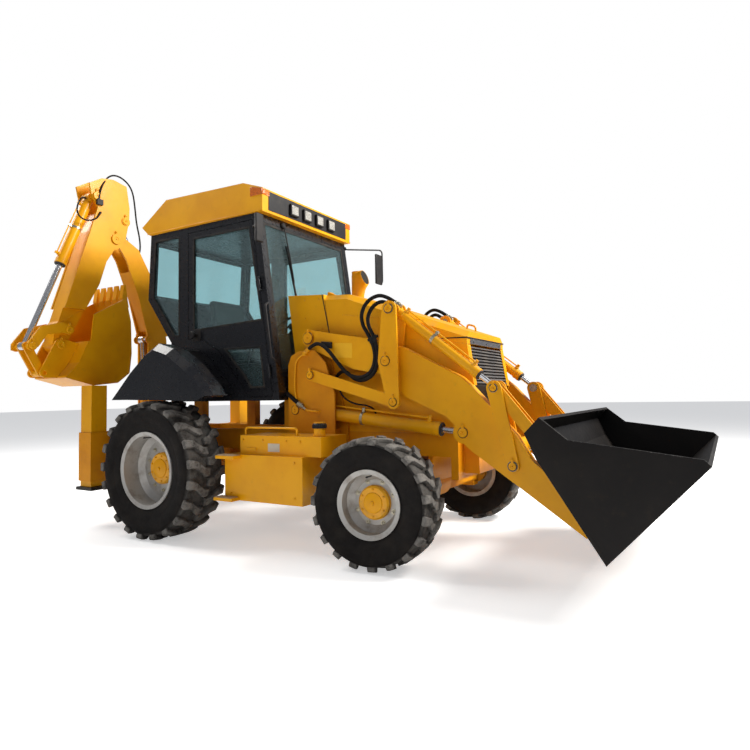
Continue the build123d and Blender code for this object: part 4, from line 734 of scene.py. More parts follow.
plate(bm, -0.419, ((2.649, 1.633), (2.656, 1.633), (2.656, 1.643), (2.649, 1.643)), 0.838)
for sign in (-1, 1):
    plate(bm, sign * 0.4145, ((2.370, 1.640), (2.655, 1.633), (2.655, 1.643), (2.370, 1.647)), sign * 0.0045)
finish_piece(bm, "hood_trim", "hood", "black_plastic", bevel=0.0015)
bm = bmesh.new()                                            # lifting loop on the hood's top
loop = [(x, 0.060, z) for x, z in ((2.465, 1.712), (2.465, 1.794), (2.540, 1.772), (2.540, 1.692))]
tube_mesh(bm, rounded_path(loop, 0.028), 0.008)
finish_piece(bm, "hood_loop", "hood", "yellow_paint", smooth=60)

EXHAUST = Vector((1.225, 0.300, 0.0))
bm = bmesh.new()
lathe(bm, EXHAUST + Vector((0, 0, 2.100)), (0, 0, 1), [(0, 0.055), (0, 0.075), (0.006, 0.075), (0.012, 0.060)], 40)
finish_piece(bm, "exhaust_collar", "chassis", "yellow_paint")


def stack_ring(rear, front, half):
    """A ring of the exhaust's shroud between its rear and its front point, both (forward, up), half as wide."""
    ring = []
    for a in ring_of(40):
        t = 0.5 + 0.5 * math.cos(a)
        ring.append(Vector((rear[0] + (front[0] - rear[0]) * t, EXHAUST.y + half * math.sin(a),
                            rear[1] + (front[1] - rear[1]) * t)))
    return ring


bm = bmesh.new()
MOUTH = ((1.286, 2.440), (1.338, 2.292), 0.064)
rings = [[bm.verts.new(p) for p in stack_ring(*row)] for row in
         (((1.165, 2.105), (1.285, 2.105), 0.060), ((1.166, 2.200), (1.292, 2.195), 0.061),
          ((1.168, 2.400), (1.306, 2.238), 0.062), ((1.180, 2.436), (1.320, 2.262), 0.063), MOUTH)]
middle = sum((v.co for v in rings[-1]), Vector()) / len(rings[-1])
rings.append([bm.verts.new(v.co + (middle - v.co) * 0.07) for v in rings[-1]])
for low, high in zip(rings, rings[1:]):
    bridge(bm, low, high)
finish_piece(bm, "exhaust_shroud", "chassis", "yellow_paint", smooth=60)
# painted shade: a dark lid across the exhaust's mouth stands for the pipe's shaded, sooty hollow
bm = bmesh.new()
bm.faces.new([bm.verts.new(p + (middle - p) * 0.03) for p in stack_ring(*MOUTH)])
finish_piece(bm, "exhaust_mouth_shade", "chassis", mouth_soot_and_shade, "dark_casting")
bm = bmesh.new()
for sign in (-1, 1):
    for x, z in ((1.12, 2.07), (1.12, 1.90), (1.27, 2.06), (1.31, 1.80)):
        hex_bolt(bm, (x, sign * HOOD_SIDE, z), (0, sign, 0), 0.008)
finish_piece(bm, "cowl_bolts", "chassis", "yellow_paint")
bm = bmesh.new()                                            # painted shadow: a dark strip in the gap between cowl and hood
for sign in (-1, 1):
    plate(bm, sign * (HOOD_SIDE - 0.0005), ((1.303, 2.100), (1.313, 2.100), (1.386, 1.756), (1.376, 1.756)),
          sign * 0.0012)
finish_piece(bm, "cowl_gap_shadow", "chassis", seal_rubber, "black_plastic")

# ---------------------------------------------------------------- cab: seals, handles, wiper, roof trim and lamps
DOOR_UPPER = [(0.868, 1.880), (0.722, 2.740), (0.000, 2.740), (0.000, 1.840)]
DOOR_LOWER = [(0.890, 1.290), (0.845, 1.660), (0.400, 1.660), (0.540, 1.500), (0.650, 1.390), (0.720, 1.290)]
QUARTER = [(-0.180, 2.790), (-0.545, 2.790), (-0.580, 2.225), (-0.260, 1.800), (-0.180, 1.800)]
for sign, hand in SIDES:
    for name, body, outline, wide, thick in (("door_upper", f"door_{hand}", DOOR_UPPER, 0.018, 0.0155),
                                             ("door_lower", f"door_{hand}", DOOR_LOWER, 0.018, 0.0155),
                                             ("quarter", "chassis", QUARTER, 0.020, 0.017)):
        bm = bmesh.new()
        points = [side(sign * (CAB_SIDE + 0.003 - thick))(*p) for p in outline]
        loop_frame(bm, points[::-sign], (0, sign, 0), wide, thick)
        finish_piece(bm, f"{name}_seal_{hand}", body, seal_rubber, "black_plastic", bevel=0.003)
    bm = bmesh.new()                                        # door lock: a plate, a round knob and its barrel
    at = Vector((0.045, sign * CAB_SIDE, 1.800))
    plate(bm, at.y, ((0.000, 1.745), (0.105, 1.745), (0.105, 1.855), (0.000, 1.855)), sign * 0.006)
    lathe(bm, at, (0, sign, 0), [(0, 0), (0.004, 0.020), (0.040, 0.018), (0.044, 0.034), (0.058, 0.036), (0.066, 0.030),
                                 (0.066, 0)], 28)
    finish_piece(bm, f"door_lock_{hand}", f"door_{hand}", "black_plastic", bevel=0.002)
    if sign < 0:                                            # grab rail ahead of the right door, on the front post
        bm = bmesh.new()
        rail = [(1.010, 1.520, 0.001), (1.005, 1.545, 0.050), (0.940, 2.005, 0.050), (0.935, 2.030, 0.001)]
        tube_mesh(bm, rounded_path([(x, -CAB_SIDE - off, z) for x, z, off in rail], 0.03), 0.010)
        finish_piece(bm, f"post_rail_{hand}", "chassis", "black_plastic", smooth=60)
bm = bmesh.new()
screen = [Vector((1.0095 - 0.193 * t / 1.356, y, 1.420 + t))
          for t, y in ((0, -0.63), (0, 0.63), (1.36, 0.63), (1.36, -0.63))]
loop_frame(bm, screen, (0.990, 0, 0.141), 0.028, 0.006)
finish_piece(bm, "screen_seal", "chassis", seal_rubber, "black_plastic", bevel=0.003)
bm = bmesh.new()
rear = [(-0.6275, 0.62, 2.230), (-0.6275, -0.62, 2.230), (-0.5985, -0.62, 2.780), (-0.5985, 0.62, 2.780)]
loop_frame(bm, rear, (-0.9986, 0, -0.053), 0.026, 0.005)
finish_piece(bm, "rear_window_seal", "chassis", seal_rubber, "black_plastic", bevel=0.002)


def on_screen(y, up, off=0.0):
    """A point on the windscreen, up metres along it from its lower edge, and off ahead of it."""
    return Vector((1.008 - 0.1409 * up + 0.99 * off, y, 1.422 + 0.99 * up + 0.141 * off))


bm = bmesh.new()                                            # wiper: motor at the head rail, arm and blade
lathe(bm, on_screen(-0.36, 1.392, 0.004), (0.99, 0, 0.141),
      [(0, 0), (0, 0.030), (0.022, 0.030), (0.030, 0.020), (0.030, 0)], 24)
tube_mesh(bm, [on_screen(-0.36, 1.392, 0.028), on_screen(-0.33, 1.10, 0.032), on_screen(-0.30, 0.85, 0.022)], 0.006)
slab(bm, [on_screen(y, up, 0.006) for y, up in ((-0.353, 1.20), (-0.337, 1.20), (-0.252, 0.52), (-0.268, 0.52))],
     (0.014, 0, 0.002))
finish_piece(bm, "wiper", "chassis", seal_rubber, "black_plastic", bevel=0.001)

# roof: dark lamp strip, work lamps, corner lamps and the drip lip
ROOF_HALF = 0.700
bm = bmesh.new()
plate(bm, -0.62, ((0.8795, 2.875), (0.8835, 2.875), (0.8835, 3.045), (0.8795, 3.045)), 1.24)
finish_piece(bm, "lamp_strip", "chassis", "black_plastic", bevel=0.0012)
bm = bmesh.new()
shells = bmesh.new()
for y in (-0.330, -0.130, 0.070, 0.270):
    for b, x0, x1, inset in ((shells, 0.8840, 0.9095, 0.0), (bm, 0.8990, 0.9098, 0.010)):
        cross_plate(b, x0, (y + inset, y + 0.120 - inset), 2.900 + inset, 3.010 - inset, x1 - x0)
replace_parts(finish_piece(shells, "work_lamp_housings", "chassis", "black_plastic", bevel=0.006, segments=3),
            "roof_lamps")
finish_piece(bm, "work_lamp_lenses", "chassis", clear_lens, "glass", bevel=0.005, segments=3)
for sign, hand in SIDES:
    bm = bmesh.new()
    y = sign * ROOF_HALF
    plate(bm, y - sign * 0.010, ((0.740, 3.000), (0.8815, 3.000), (0.8815, 3.052), (0.770, 3.082), (0.740, 3.082)),
          sign * 0.0175)
    plate(bm, y - sign * 0.09, ((0.8790, 3.000), (0.8860, 3.000), (0.8860, 3.050), (0.8790, 3.055)), sign * 0.0925)
    finish_piece(bm, f"corner_lamp_{hand}", "chassis", amber, "glass", bevel=0.004, segments=3)
    bm = bmesh.new()
    plate(bm, y, ((-0.640, 2.862), (0.884, 2.852), (0.884, 2.864), (-0.640, 2.874)), sign * 0.006)
    finish_piece(bm, f"roof_drip_{hand}", "chassis", "yellow_paint", bevel=0.003)
    bm = bmesh.new()                                        # work lamp under the roof's tail
    lathe(bm, (-0.640, sign * 0.50, 2.905), (-1, 0, 0),
          [(0, 0), (0, 0.050), (0.045, 0.055), (0.050, 0.050), (0.046, 0.0)], 32)
    finish_piece(bm, f"rear_work_lamp_{hand}", "chassis", "black_plastic", bevel=0.002)

# ---------------------------------------------------------------- mirrors
def mirror(hand, sign, arm, head, low, high, half):
    """A mirror on a bent arm from the cab's post: its head's place, its lower and upper edge and half its width."""
    bm = bmesh.new()
    tube_mesh(bm, rounded_path(arm, 0.05), 0.0085, 12)
    lathe(bm, arm[0], (0, sign, 0), [(0, 0), (0, 0.022), (0.006, 0.022), (0.008, 0.018), (0.008, 0)], 20)
    lathe(bm, head + Vector((-0.016, 0, 0)), (1, 0, 0), [(0, 0), (0, 0.016), (0.030, 0.014), (0.030, 0)], 16)
    finish_piece(bm, f"mirror_arm_{hand}", "chassis", "black_plastic", smooth=60)
    bm = bmesh.new()
    y = head.y
    cross_plate(bm, head.x, (y - half, y + half), low, high, 0.026)
    shell = finish_piece(bm, f"mirror_shell_{hand}", "chassis", "black_plastic", bevel=0.016,
                         segments=4, smooth=50)
    bm = bmesh.new()
    rim = 0.012
    cross_plate(bm, head.x - 0.002, (y - half + rim, y + half - rim), low + rim, high - rim, 0.004)
    finish_piece(bm, f"mirror_glass_{hand}", "chassis", mirror_face, "bright_steel", bevel=0.010, segments=3)
    return shell


RIGHT_ARM = [(0.815, -0.6905, 2.700), (0.815, -0.760, 2.700), (0.925, -0.800, 2.700)]
LEFT_ARM = [(0.815, 0.6905, 2.800), (0.815, 0.730, 2.800), (1.000, 1.190, 2.860), (1.000, 1.190, 2.480),
            (1.005, 1.110, 2.465)]
shell = mirror("right", -1, RIGHT_ARM, Vector((0.917, -0.800, 2.700)), 2.540, 2.790, 0.050)
mirror("left", 1, LEFT_ARM, Vector((0.992, 1.0975, 2.620)), 2.450, 2.790, 0.0675)
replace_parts(shell, "mirrors")

# ---------------------------------------------------------------- backhoe: rams' pipes, pin ends and wear edges
HOE_RAMS = [     # name, body, base pin, rod eye, barrel radius, barrel length, ports
    ("boom_ram", "boom_barrel", (0.276, 0.474), (0.355, 1.891), 0.056, 0.795, (0.14, 0.70, 0.026)),
    ("dipper_ram", "dipper_barrel", (0.060, 2.010), (0.690, 3.175), 0.046, 0.880, (0.12, 0.79, 0.022)),
    ("hoe_bucket_ram", "hoe_bucket_barrel", (1.040, 3.366), (1.700, 1.735), 0.052, 0.832, (0.12, 0.74, 0.024))]
for name, body, base, eye, r, mouth, ports in HOE_RAMS:
    ram_fittings(name, body, hoe, base, eye, r, mouth, ports, pipe_r=0.007)

HOE_PINS = [     # body, pivot, half width, head radius
    ("swing_post", (0.230, 1.000), 0.132, 0.046), ("swing_post", (0.276, 0.474), 0.132, 0.042),
    ("boom", (0.060, 2.010), 0.103, 0.042), ("boom", (0.355, 1.891), 0.103, 0.038),
    ("dipper", (0.805, 2.950), 0.133, 0.056), ("dipper", (0.690, 3.175), 0.133, 0.038),
    ("dipper", (1.040, 3.366), 0.133, 0.042), ("hoe_bucket", (1.400, 1.760), 0.121, 0.042),
    ("hoe_rockers", (1.700, 1.735), 0.156, 0.036), ("hoe_rockers", (1.331, 1.916), 0.148, 0.036)]
by_body = {}
for body, pivot, half, r in HOE_PINS:
    bm = by_body.setdefault(body, bmesh.new())
    for sign in (-1, 1):
        pin_end(bm, hoe(*pivot, sign * half), Vector((sign, 0, 0)), Vector((0, 1, 0)), r, (0.012, 0.034),
                (0.022, 0.009))
for body, bm in by_body.items():
    finish_piece(bm, f"hoe_pin_heads_{body}", body, "yellow_paint", bevel=0.001)

WEAR_EDGE = [(0.724, 1.700), (0.746, 1.500), (0.878, 1.398), (1.148, 1.370)]
bm = bmesh.new()                                            # weld beads along the digging bucket's wear edges
for w in (-0.2705, 0.2705):
    tube_mesh(bm, [hoe(u, v, w) for u, v in WEAR_EDGE], 0.005, 8)
finish_piece(bm, "hoe_bucket_wear", "hoe_bucket", "yellow_paint", smooth=60)

# ---------------------------------------------------------------- seat, console, steering wheel and levers
bm = bmesh.new()
block(bm, (-0.055, -0.195, 1.232), (0.255, 0.195, 1.545))
block(bm, (-0.120, -0.225, 1.545), (0.330, 0.225, 1.575))
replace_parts(finish_piece(bm, "seat_base", "chassis", "black_plastic", bevel=0.02, segments=3), "operator_seat")


def cushion(name, low, high, lean, material, channels, crown=0.02):
    """A crowned pad with sewn channels, its sides pulled in, leaning back by an angle about its lower edge."""
    bm = bmesh.new()
    cols, rows = 26, 26
    (x0, y0, z0), (x1, y1, z1) = low, high
    grid = {}
    for i in range(cols + 1):
        for j in range(rows + 1):
            s, t = i / cols, j / rows
            edge = min(1.0, 7.0 * min(s, 1 - s)) ** 0.5 * min(1.0, 7.0 * min(t, 1 - t)) ** 0.5
            ridge = sum(math.exp(-((t - c) / 0.018) ** 2) for c in channels)
            rise = edge * (1 - 0.45 * ridge) * crown * (1.0 + 0.5 * math.sin(math.pi * s))
            pull = 0.006 * math.sin(math.pi * s) * (1 if t < 0.5 else -1) * (1 - abs(2 * t - 1) < 0.15)
            grid[i, j, 1] = (x0 + (x1 - x0) * t, y0 + (y1 - y0) * s + pull, z1 - crown + rise)
            grid[i, j, 0] = (x0 + (x1 - x0) * t, y0 + (y1 - y0) * s, z0)
    hinge_at = Vector((x0, 0, z0))
    turn = Matrix.Rotation(-lean, 3, "Y")
    verts = {k: bm.verts.new(hinge_at + turn @ (Vector(p) - hinge_at)) for k, p in grid.items()}
    for i in range(cols):
        for j in range(rows):
            bm.faces.new([verts[i, j, 1], verts[i + 1, j, 1], verts[i + 1, j + 1, 1], verts[i, j + 1, 1]])
            bm.faces.new([verts[i, j, 0], verts[i, j + 1, 0], verts[i + 1, j + 1, 0], verts[i + 1, j, 0]])
    rim = ([(i, 0) for i in range(cols)] + [(cols, j) for j in range(rows)]
           + [(i, rows) for i in range(cols, 0, -1)] + [(0, j) for j in range(rows, 0, -1)])
    for a, b in zip(rim, rim[1:] + rim[:1]):
        bm.faces.new([verts[(*a, 0)], verts[(*b, 0)], verts[(*b, 1)], verts[(*a, 1)]])
    piece = finish_piece(bm, name, "chassis", material, "black_plastic", bevel=0.014, segments=4, smooth=70)


cushion("seat_cushion", (-0.130, -0.235, 1.576), (0.345, 0.235, 1.680), 0.0, seat_cloth, (0.33, 0.62))
cushion("seat_back", (-0.120, -0.215, 1.690), (0.420, 0.215, 1.775), math.radians(101), seat_cloth, (0.28, 0.52, 0.76))
bm = bmesh.new()
for y in (-0.245, 0.245):
    block(bm, (-0.150, y - 0.030, 1.850), (0.160, y + 0.030, 1.885))
finish_piece(bm, "seat_armrests", "chassis", "black_plastic", bevel=0.014, segments=4, smooth=50)
bm = bmesh.new()
plate(bm, -0.295, ((0.705, 1.232), (0.925, 1.232), (0.880, 1.795), (0.720, 1.770)), 0.590)
slab(bm, [(0.712, -0.200, 1.772), (0.860, -0.200, 1.796), (0.845, -0.170, 1.860), (0.745, -0.170, 1.850)], (0, 0.36, 0))
finish_piece(bm, "front_console", "chassis", "black_plastic", bevel=0.018, segments=3, smooth=50)
WHEEL_AT, WHEEL_AXIS = Vector((0.634, 0.0, 1.912)), Vector((-0.5, 0, 0.87)).normalized()
_, across_a, across_b = frame_of(WHEEL_AXIS)
bm = bmesh.new()
ring = [WHEEL_AT + (across_a * math.cos(a) + across_b * math.sin(a)) * 0.176 for a in ring_of(48)]
rings = []
for p in ring:
    out = (p - WHEEL_AT).normalized()
    rings.append([bm.verts.new(p + (out * math.cos(b) + WHEEL_AXIS * math.sin(b)) * 0.0125) for b in ring_of(12)])
for a, b in zip(rings, rings[1:] + rings[:1]):
    bridge(bm, a, b)
for k in (4, 20, 36):
    tube_mesh(bm, [WHEEL_AT - WHEEL_AXIS * 0.010, WHEEL_AT + (ring[k] - WHEEL_AT) * 0.96], 0.010, 10)
lathe(bm, WHEEL_AT - WHEEL_AXIS * 0.025, WHEEL_AXIS,
      [(0, 0), (0, 0.040), (0.030, 0.044), (0.040, 0.034), (0.040, 0)], 32)
lathe(bm, ring[28] + WHEEL_AXIS * 0.008, WHEEL_AXIS,
      [(0, 0), (0, 0.008), (0.030, 0.010), (0.042, 0.022), (0.060, 0.020), (0.066, 0)], 20)
tube_mesh(bm, [WHEEL_AT - WHEEL_AXIS * 0.02, Vector((0.762, 0, 1.745))], 0.024, 16)
finish_piece(bm, "steering_wheel", "chassis", "black_plastic", smooth=60)
bm = bmesh.new()
LEVERS = [(0.30, -0.36, 0.52, 0.06), (0.34, -0.42, 0.48, 0.05), (-0.36, -0.24, 0.42, -0.02), (-0.36, 0.0, 0.44, 0.0),
          (-0.36, 0.24, 0.42, 0.02)]            # place, height and lean
for x, y, tall, lean in LEVERS:
    foot = Vector((x, y, 1.232))
    top = foot + Vector((lean * 2, lean, tall))
    tube_mesh(bm, [foot, foot + (top - foot) * 0.5 + Vector((0.01, 0, 0)), top], 0.007, 10)
    lathe(bm, top - (top - foot).normalized() * 0.02, top - foot,
          [(0, 0), (0, 0.012), (0.03, 0.020), (0.06, 0.022), (0.085, 0.014), (0.090, 0)], 20)
    lathe(bm, foot, (0, 0, 1),
          [(0, 0), (0, 0.045), (0.02, 0.045), (0.05, 0.022), (0.07, 0.016), (0.09, 0.014), (0.09, 0)], 24)
finish_piece(bm, "control_levers", "chassis", "black_plastic", smooth=50)

# ---------------------------------------------------------------- tanks and steps
STEP_MIDDLE, TANK_SIDE, LOW_TANK_SIDE = 1.045, 0.940, 1.000
for sign, hand in SIDES:
    bm = bmesh.new()                                        # ribbed tread plates on both steps
    y = sign * STEP_MIDDLE
    for x0, x1, z in ((0.700, 0.900, 0.7405), (0.680, 0.880, 0.4005)):
        block(bm, (x0 + 0.008, y - 0.040, z), (x1 - 0.008, y + 0.040, z + 0.004))
        for k in range(7):
            x = x0 + 0.022 + k * (x1 - x0 - 0.044) / 6
            block(bm, (x - 0.005, y - 0.036, z + 0.003), (x + 0.005, y + 0.036, z + 0.008))
    finish_piece(bm, f"step_grips_{hand}", "chassis", step_grip, "pin_steel", bevel=0.0015, segments=1)
    bm = bmesh.new()
    for x in (0.87, 1.08, 1.32, 1.46):
        hex_bolt(bm, (x, sign * TANK_SIDE, 0.860), (0, sign, 0), 0.009)
    for x in (0.79, 1.45):
        for z in (0.43, 0.70):
            hex_bolt(bm, (x, sign * LOW_TANK_SIDE, z), (0, sign, 0), 0.009)
    plate(bm, sign * TANK_SIDE, ((0.905, 0.770), (1.010, 0.770), (1.010, 0.800), (0.905, 0.800)), sign * 0.008)
    finish_piece(bm, f"tank_bolts_{hand}", "chassis", "yellow_paint", bevel=0.001)
    bm = bmesh.new()
    plate(bm, sign * (TANK_SIDE + 0.0002), ((1.135, 0.772), (1.255, 0.772), (1.255, 0.838), (1.135, 0.838)),
          sign * 0.0015)
    finish_piece(bm, f"blank_plate_{hand}", "chassis", label_pale, "yellow_paint", bevel=0.0006, segments=1)
    bm = bmesh.new()                                        # rail on the upper box
    rail = [side(sign * 0.900)(x, z) for x, z in ((0.860, 0.900), (0.860, 0.960), (1.400, 0.960), (1.400, 0.900))]
    tube_mesh(bm, rounded_path(rail, 0.03), 0.009, 12)
    finish_piece(bm, f"tank_rail_{hand}", "chassis", "yellow_paint", smooth=60)
bm = bmesh.new()
cap = Vector((1.590, -0.860, 0.962))
collar(bm, cap, (0, 0, 1), 0.0452, 0.050, -0.057, -0.047)
finish_piece(bm, "filler_neck_ring", "chassis", "yellow_paint")
bm = bmesh.new()
lathe(bm, cap, (0, 0, 1),
      [(0, 0.0455), (0, 0.054), (0.030, 0.054), (0.040, 0.046), (0.043, 0.030), (0.043, 0)], 40)
for a in ring_of(20):
    lathe(bm, cap + Vector((0.0535 * math.cos(a), 0.0535 * math.sin(a), 0.002)), (0, 0, 1),
          [(0, 0), (0, 0.004), (0.024, 0.004), (0.027, 0.002), (0.027, 0)], 8)
finish_piece(bm, "filler_cap_grip", "chassis", "black_plastic")

# ---------------------------------------------------------------- hydraulic hoses
def hose(name, body, points, r, bend=None):
    """A hydraulic hose: a tube round a smooth NURBS line; given a bend, where it crosses a joint, it keeps its place in
    the world instead of riding on its body.
    """
    curve = bpy.data.curves.new(name, "CURVE")
    curve.dimensions = "3D"
    spline = curve.splines.new("NURBS")
    spline.points.add(len(points) - 1)
    for cp, p in zip(spline.points, points):
        cp.co = (*p, 1.0)
    spline.order_u = 3
    spline.use_endpoint_u = True
    spline.resolution_u = 8
    bare = bpy.data.objects.new(name + "_line", curve)
    line = bpy.data.meshes.new_from_object(bare)
    path = [v.co.copy() for v in line.vertices]
    bpy.data.objects.remove(bare)
    bpy.data.meshes.remove(line)
    bpy.data.curves.remove(curve)
    bm = bmesh.new()
    tube_mesh(bm, path, r, 14)
    obj = finish_piece(bm, name, body, hose_rubber, "black_plastic", smooth=180, bend=bend)
    return path


def ferrule(bm, at, towards, r, long=0.045):
    """A crimped hose end with its nut, running from a point along a direction."""
    lathe(bm, at, towards, [(-0.002, 0), (-0.002, r * 1.45), (long * 0.35, r * 1.45)], 6)
    crimp = ((0.35, 1.45), (0.36, 1.22), (0.62, 1.22), (0.66, 1.34), (0.72, 1.22), (0.95, 1.22), (1.0, 0.96))
    lathe(bm, at, towards, [(long * t, r * wide) for t, wide in crimp], 20)


HOSE_R, FEED_R, BRAKE_R, ARC_R, LOOP_R = 0.0155, 0.018, 0.007, 0.009, 0.008
UPPER_OUTER = [(2.120, 0.502, 1.921), (2.085, 0.502, 1.947), (2.013, 0.505, 1.996), (1.935, 0.515, 2.020),
               (1.840, 0.535, 1.975), (1.792, 0.552, 1.873), (1.815, 0.5610, 1.775), (1.847, 0.5610, 1.729),
               (1.874, 0.5610, 1.685), (1.892, 0.5610, 1.650)]
UPPER_INNER = [(2.072, 0.485, 1.906), (2.046, 0.485, 1.925), (1.970, 0.500, 1.972), (1.893, 0.520, 1.940),
               (1.850, 0.545, 1.850), (1.868, 0.5610, 1.770), (1.896, 0.5610, 1.715), (1.912, 0.5610, 1.690),
               (1.920, 0.5610, 1.660)]
LOWER_OUTER = [(1.892, 0.5610, 1.650), (1.912, 0.5610, 1.610), (1.930, 0.5610, 1.500), (1.890, 0.5615, 1.395),
               (1.800, 0.5600, 1.352), (1.700, 0.5700, 1.365), (1.630, 0.5800, 1.425), (1.560, 0.5880, 1.510),
               (1.480, 0.5930, 1.605), (1.390, 0.5930, 1.660), (1.310, 0.5930, 1.630), (1.258, 0.5930, 1.585)]
LOWER_INNER = [(1.920, 0.5610, 1.660), (1.940, 0.5610, 1.610), (1.958, 0.5610, 1.500), (1.915, 0.5610, 1.375),
               (1.810, 0.5605, 1.325), (1.720, 0.5500, 1.345), (1.650, 0.5350, 1.395), (1.580, 0.5050, 1.420),
               (1.505, 0.4750, 1.390), (1.450, 0.4530, 1.335)]
LIFT_FEED = [(0.880, 0.430, 1.190), (0.920, 0.470, 1.245), (0.985, 0.555, 1.262), (1.060, 0.596, 1.235),
             (1.140, 0.600, 1.180), (1.215, 0.600, 1.128)]
BRAKE = [(1.470, 0.448, 1.330), (1.500, 0.470, 1.355), (1.525, 0.500, 1.330), (1.545, 0.520, 1.270),
         (1.600, 0.530, 1.190), (1.700, 0.520, 1.140), (1.800, 0.480, 1.130), (1.850, 0.445, 1.090),
         (1.850, 0.425, 1.040)]
for sign, hand in SIDES:
    def lay(points):
        return [Vector((x, sign * y, z)) for x, y, z in points]

    upper = [hose(f"hose_tilt_upper_{name}_{hand}", "bellcranks", lay(points), HOSE_R,
                  ("loader_arms", (2.03, 0, 1.93), (1.87, 0, 1.73)))
             for name, points in (("outer", UPPER_OUTER), ("inner", UPPER_INNER))]
    lower = [hose(f"hose_tilt_lower_{name}_{hand}", "loader_arms", lay(points), HOSE_R,
                  ("chassis", (1.86, 0, 1.50), to))
             for name, points, to in (("outer", LOWER_OUTER, (1.40, 0, 1.60)), ("inner", LOWER_INNER, (1.50, 0, 1.45)))]
    bm = bmesh.new()
    for path in upper:
        ferrule(bm, path[0], path[2] - path[0], HOSE_R)
        boss(bm, path[0], (0.85, 0, -0.52), 0.014, -0.006, 0.030, 16)
    finish_piece(bm, f"hose_ends_ram_{hand}", "bellcranks", zinc, "pin_steel", bevel=0.001)
    bm = bmesh.new()
    for path in lower:
        boss(bm, path[0] + Vector((-0.010, 0, 0.022)), (0.42, 0, -0.90), HOSE_R * 1.25, 0, 0.05)
    for y, thick in ((0.542, 0.0035), (0.568, 0.004)):
        plate(bm, sign * y, ((1.868, 1.640), (1.950, 1.676), (1.942, 1.696), (1.860, 1.660)), sign * thick)
    hex_bolt(bm, (1.906, sign * 0.5765, 1.667), (0, sign, 0), 0.007)
    finish_piece(bm, f"hose_clip_arm_{hand}", "loader_arms", "black_plastic", bevel=0.001)
    bm = bmesh.new()
    for path in lower:
        ferrule(bm, path[-1], path[-3] - path[-1], HOSE_R)
    block(bm, (1.235, sign * 0.594 - 0.016, 1.555), (1.268, sign * 0.594 + 0.016, 1.590))
    pipe = lay([(1.240, 0.593, 1.572), (1.150, 0.593, 1.520), (1.135, 0.593, 1.300), (1.150, 0.590, 1.190)])
    tube_mesh(bm, rounded_path(pipe, 0.05), 0.008, 10)
    block(bm, (1.425, sign * 0.452 - 0.014, 1.300), (1.462, sign * 0.452 + 0.014, 1.340))
    finish_piece(bm, f"hose_ends_tower_{hand}", "chassis", "yellow_paint", bevel=0.0015)
    feed = hose(f"hose_lift_feed_{hand}", "chassis", lay(LIFT_FEED), FEED_R)
    hose(f"hose_brake_{hand}", "chassis", lay(BRAKE), BRAKE_R)
    bm = bmesh.new()                                        # fitting, pipe and elbow that take the oil into the tower
    run = (feed[-1] - feed[-3]).normalized()
    ferrule(bm, feed[-1], feed[-3] - feed[-1], FEED_R)
    lathe(bm, feed[-1], run, [(0, 0), (0, 0.017), (0.020, 0.017), (0.022, 0.012), (0.050, 0.012), (0.050, 0)], 6)
    finish_piece(bm, f"hose_end_lift_{hand}", "chassis", zinc, "pin_steel")
    bm = bmesh.new()
    start = feed[-1] + run * 0.045
    pipe = [start + v for v in lay([(0, 0, 0), (0.030, 0, -0.012), (0.130, 0, -0.020), (0.130, -0.060, -0.020)])]
    tube_mesh(bm, rounded_path(pipe, 0.018), 0.010, 12)
    boss(bm, start + Vector((0.130, -sign * 0.018, -0.020)), (0, -sign, 0), 0.018, 0, 0.018, 6)
    finish_piece(bm, f"lift_pipe_tower_{hand}", "chassis", "yellow_paint", smooth=50)
    bm = bmesh.new()                                        # blank plate and hose guard on the arm
    plate(bm, sign * 0.5421, ((1.520, 1.528), (1.696, 1.520), (1.698, 1.642), (1.522, 1.652)), sign * 0.0014)
    finish_piece(bm, f"arm_plate_{hand}", "loader_arms", plate_blank, "yellow_paint", bevel=0.0006, segments=1)
    bm = bmesh.new()
    plate(bm, sign * 0.5415, ((1.395, 1.622), (1.500, 1.606), (1.502, 1.660), (1.397, 1.672)), sign * 0.022)
    finish_piece(bm, f"arm_guard_{hand}", "loader_arms", "black_plastic", bevel=0.004)

HOE_ARC = [(1.020, 3.330, 0.139), (1.018, 3.370, 0.139), (0.990, 3.480, 0.138), (0.905, 3.610, 0.105),
           (0.780, 3.690, 0.050), (0.640, 3.705, 0.0), (0.545, 3.650, 0.0), (0.495, 3.560, 0.0), (0.470, 3.400, 0.0),
           (0.450, 3.230, 0.0), (0.405, 3.070, 0.0), (0.395, 2.940, 0.0), (0.420, 2.860, 0.0), (0.470, 2.800, 0.0)]
HOE_LOOP = [(1.105, 3.340, 0.040), (1.150, 3.340, 0.050), (1.205, 3.270, 0.070), (1.240, 3.165, 0.090),
            (1.215, 3.095, 0.110), (1.150, 3.075, 0.125), (1.090, 3.090, 0.138), (1.030, 3.130, 0.139),
            (0.995, 3.200, 0.136)]
arc = hose("hose_hoe_top", "dipper", [hoe(*p) for p in HOE_ARC], ARC_R,
           ("boom", tuple(hoe(0.60, 3.66)), tuple(hoe(0.42, 3.05))))
loop = hose("hose_hoe_ram", "dipper", [hoe(*p) for p in HOE_LOOP], LOOP_R)
bm = bmesh.new()
ferrule(bm, arc[0], arc[3] - arc[0], ARC_R)
block(bm, tuple(hoe(1.045, 3.275, 0.124)), tuple(hoe(0.975, 3.335, 0.152)))
ferrule(bm, loop[0], loop[3] - loop[0], LOOP_R)
ferrule(bm, loop[-1], loop[-4] - loop[-1], LOOP_R)
finish_piece(bm, "hose_ends_dipper", "dipper", "black_plastic", bevel=0.001)

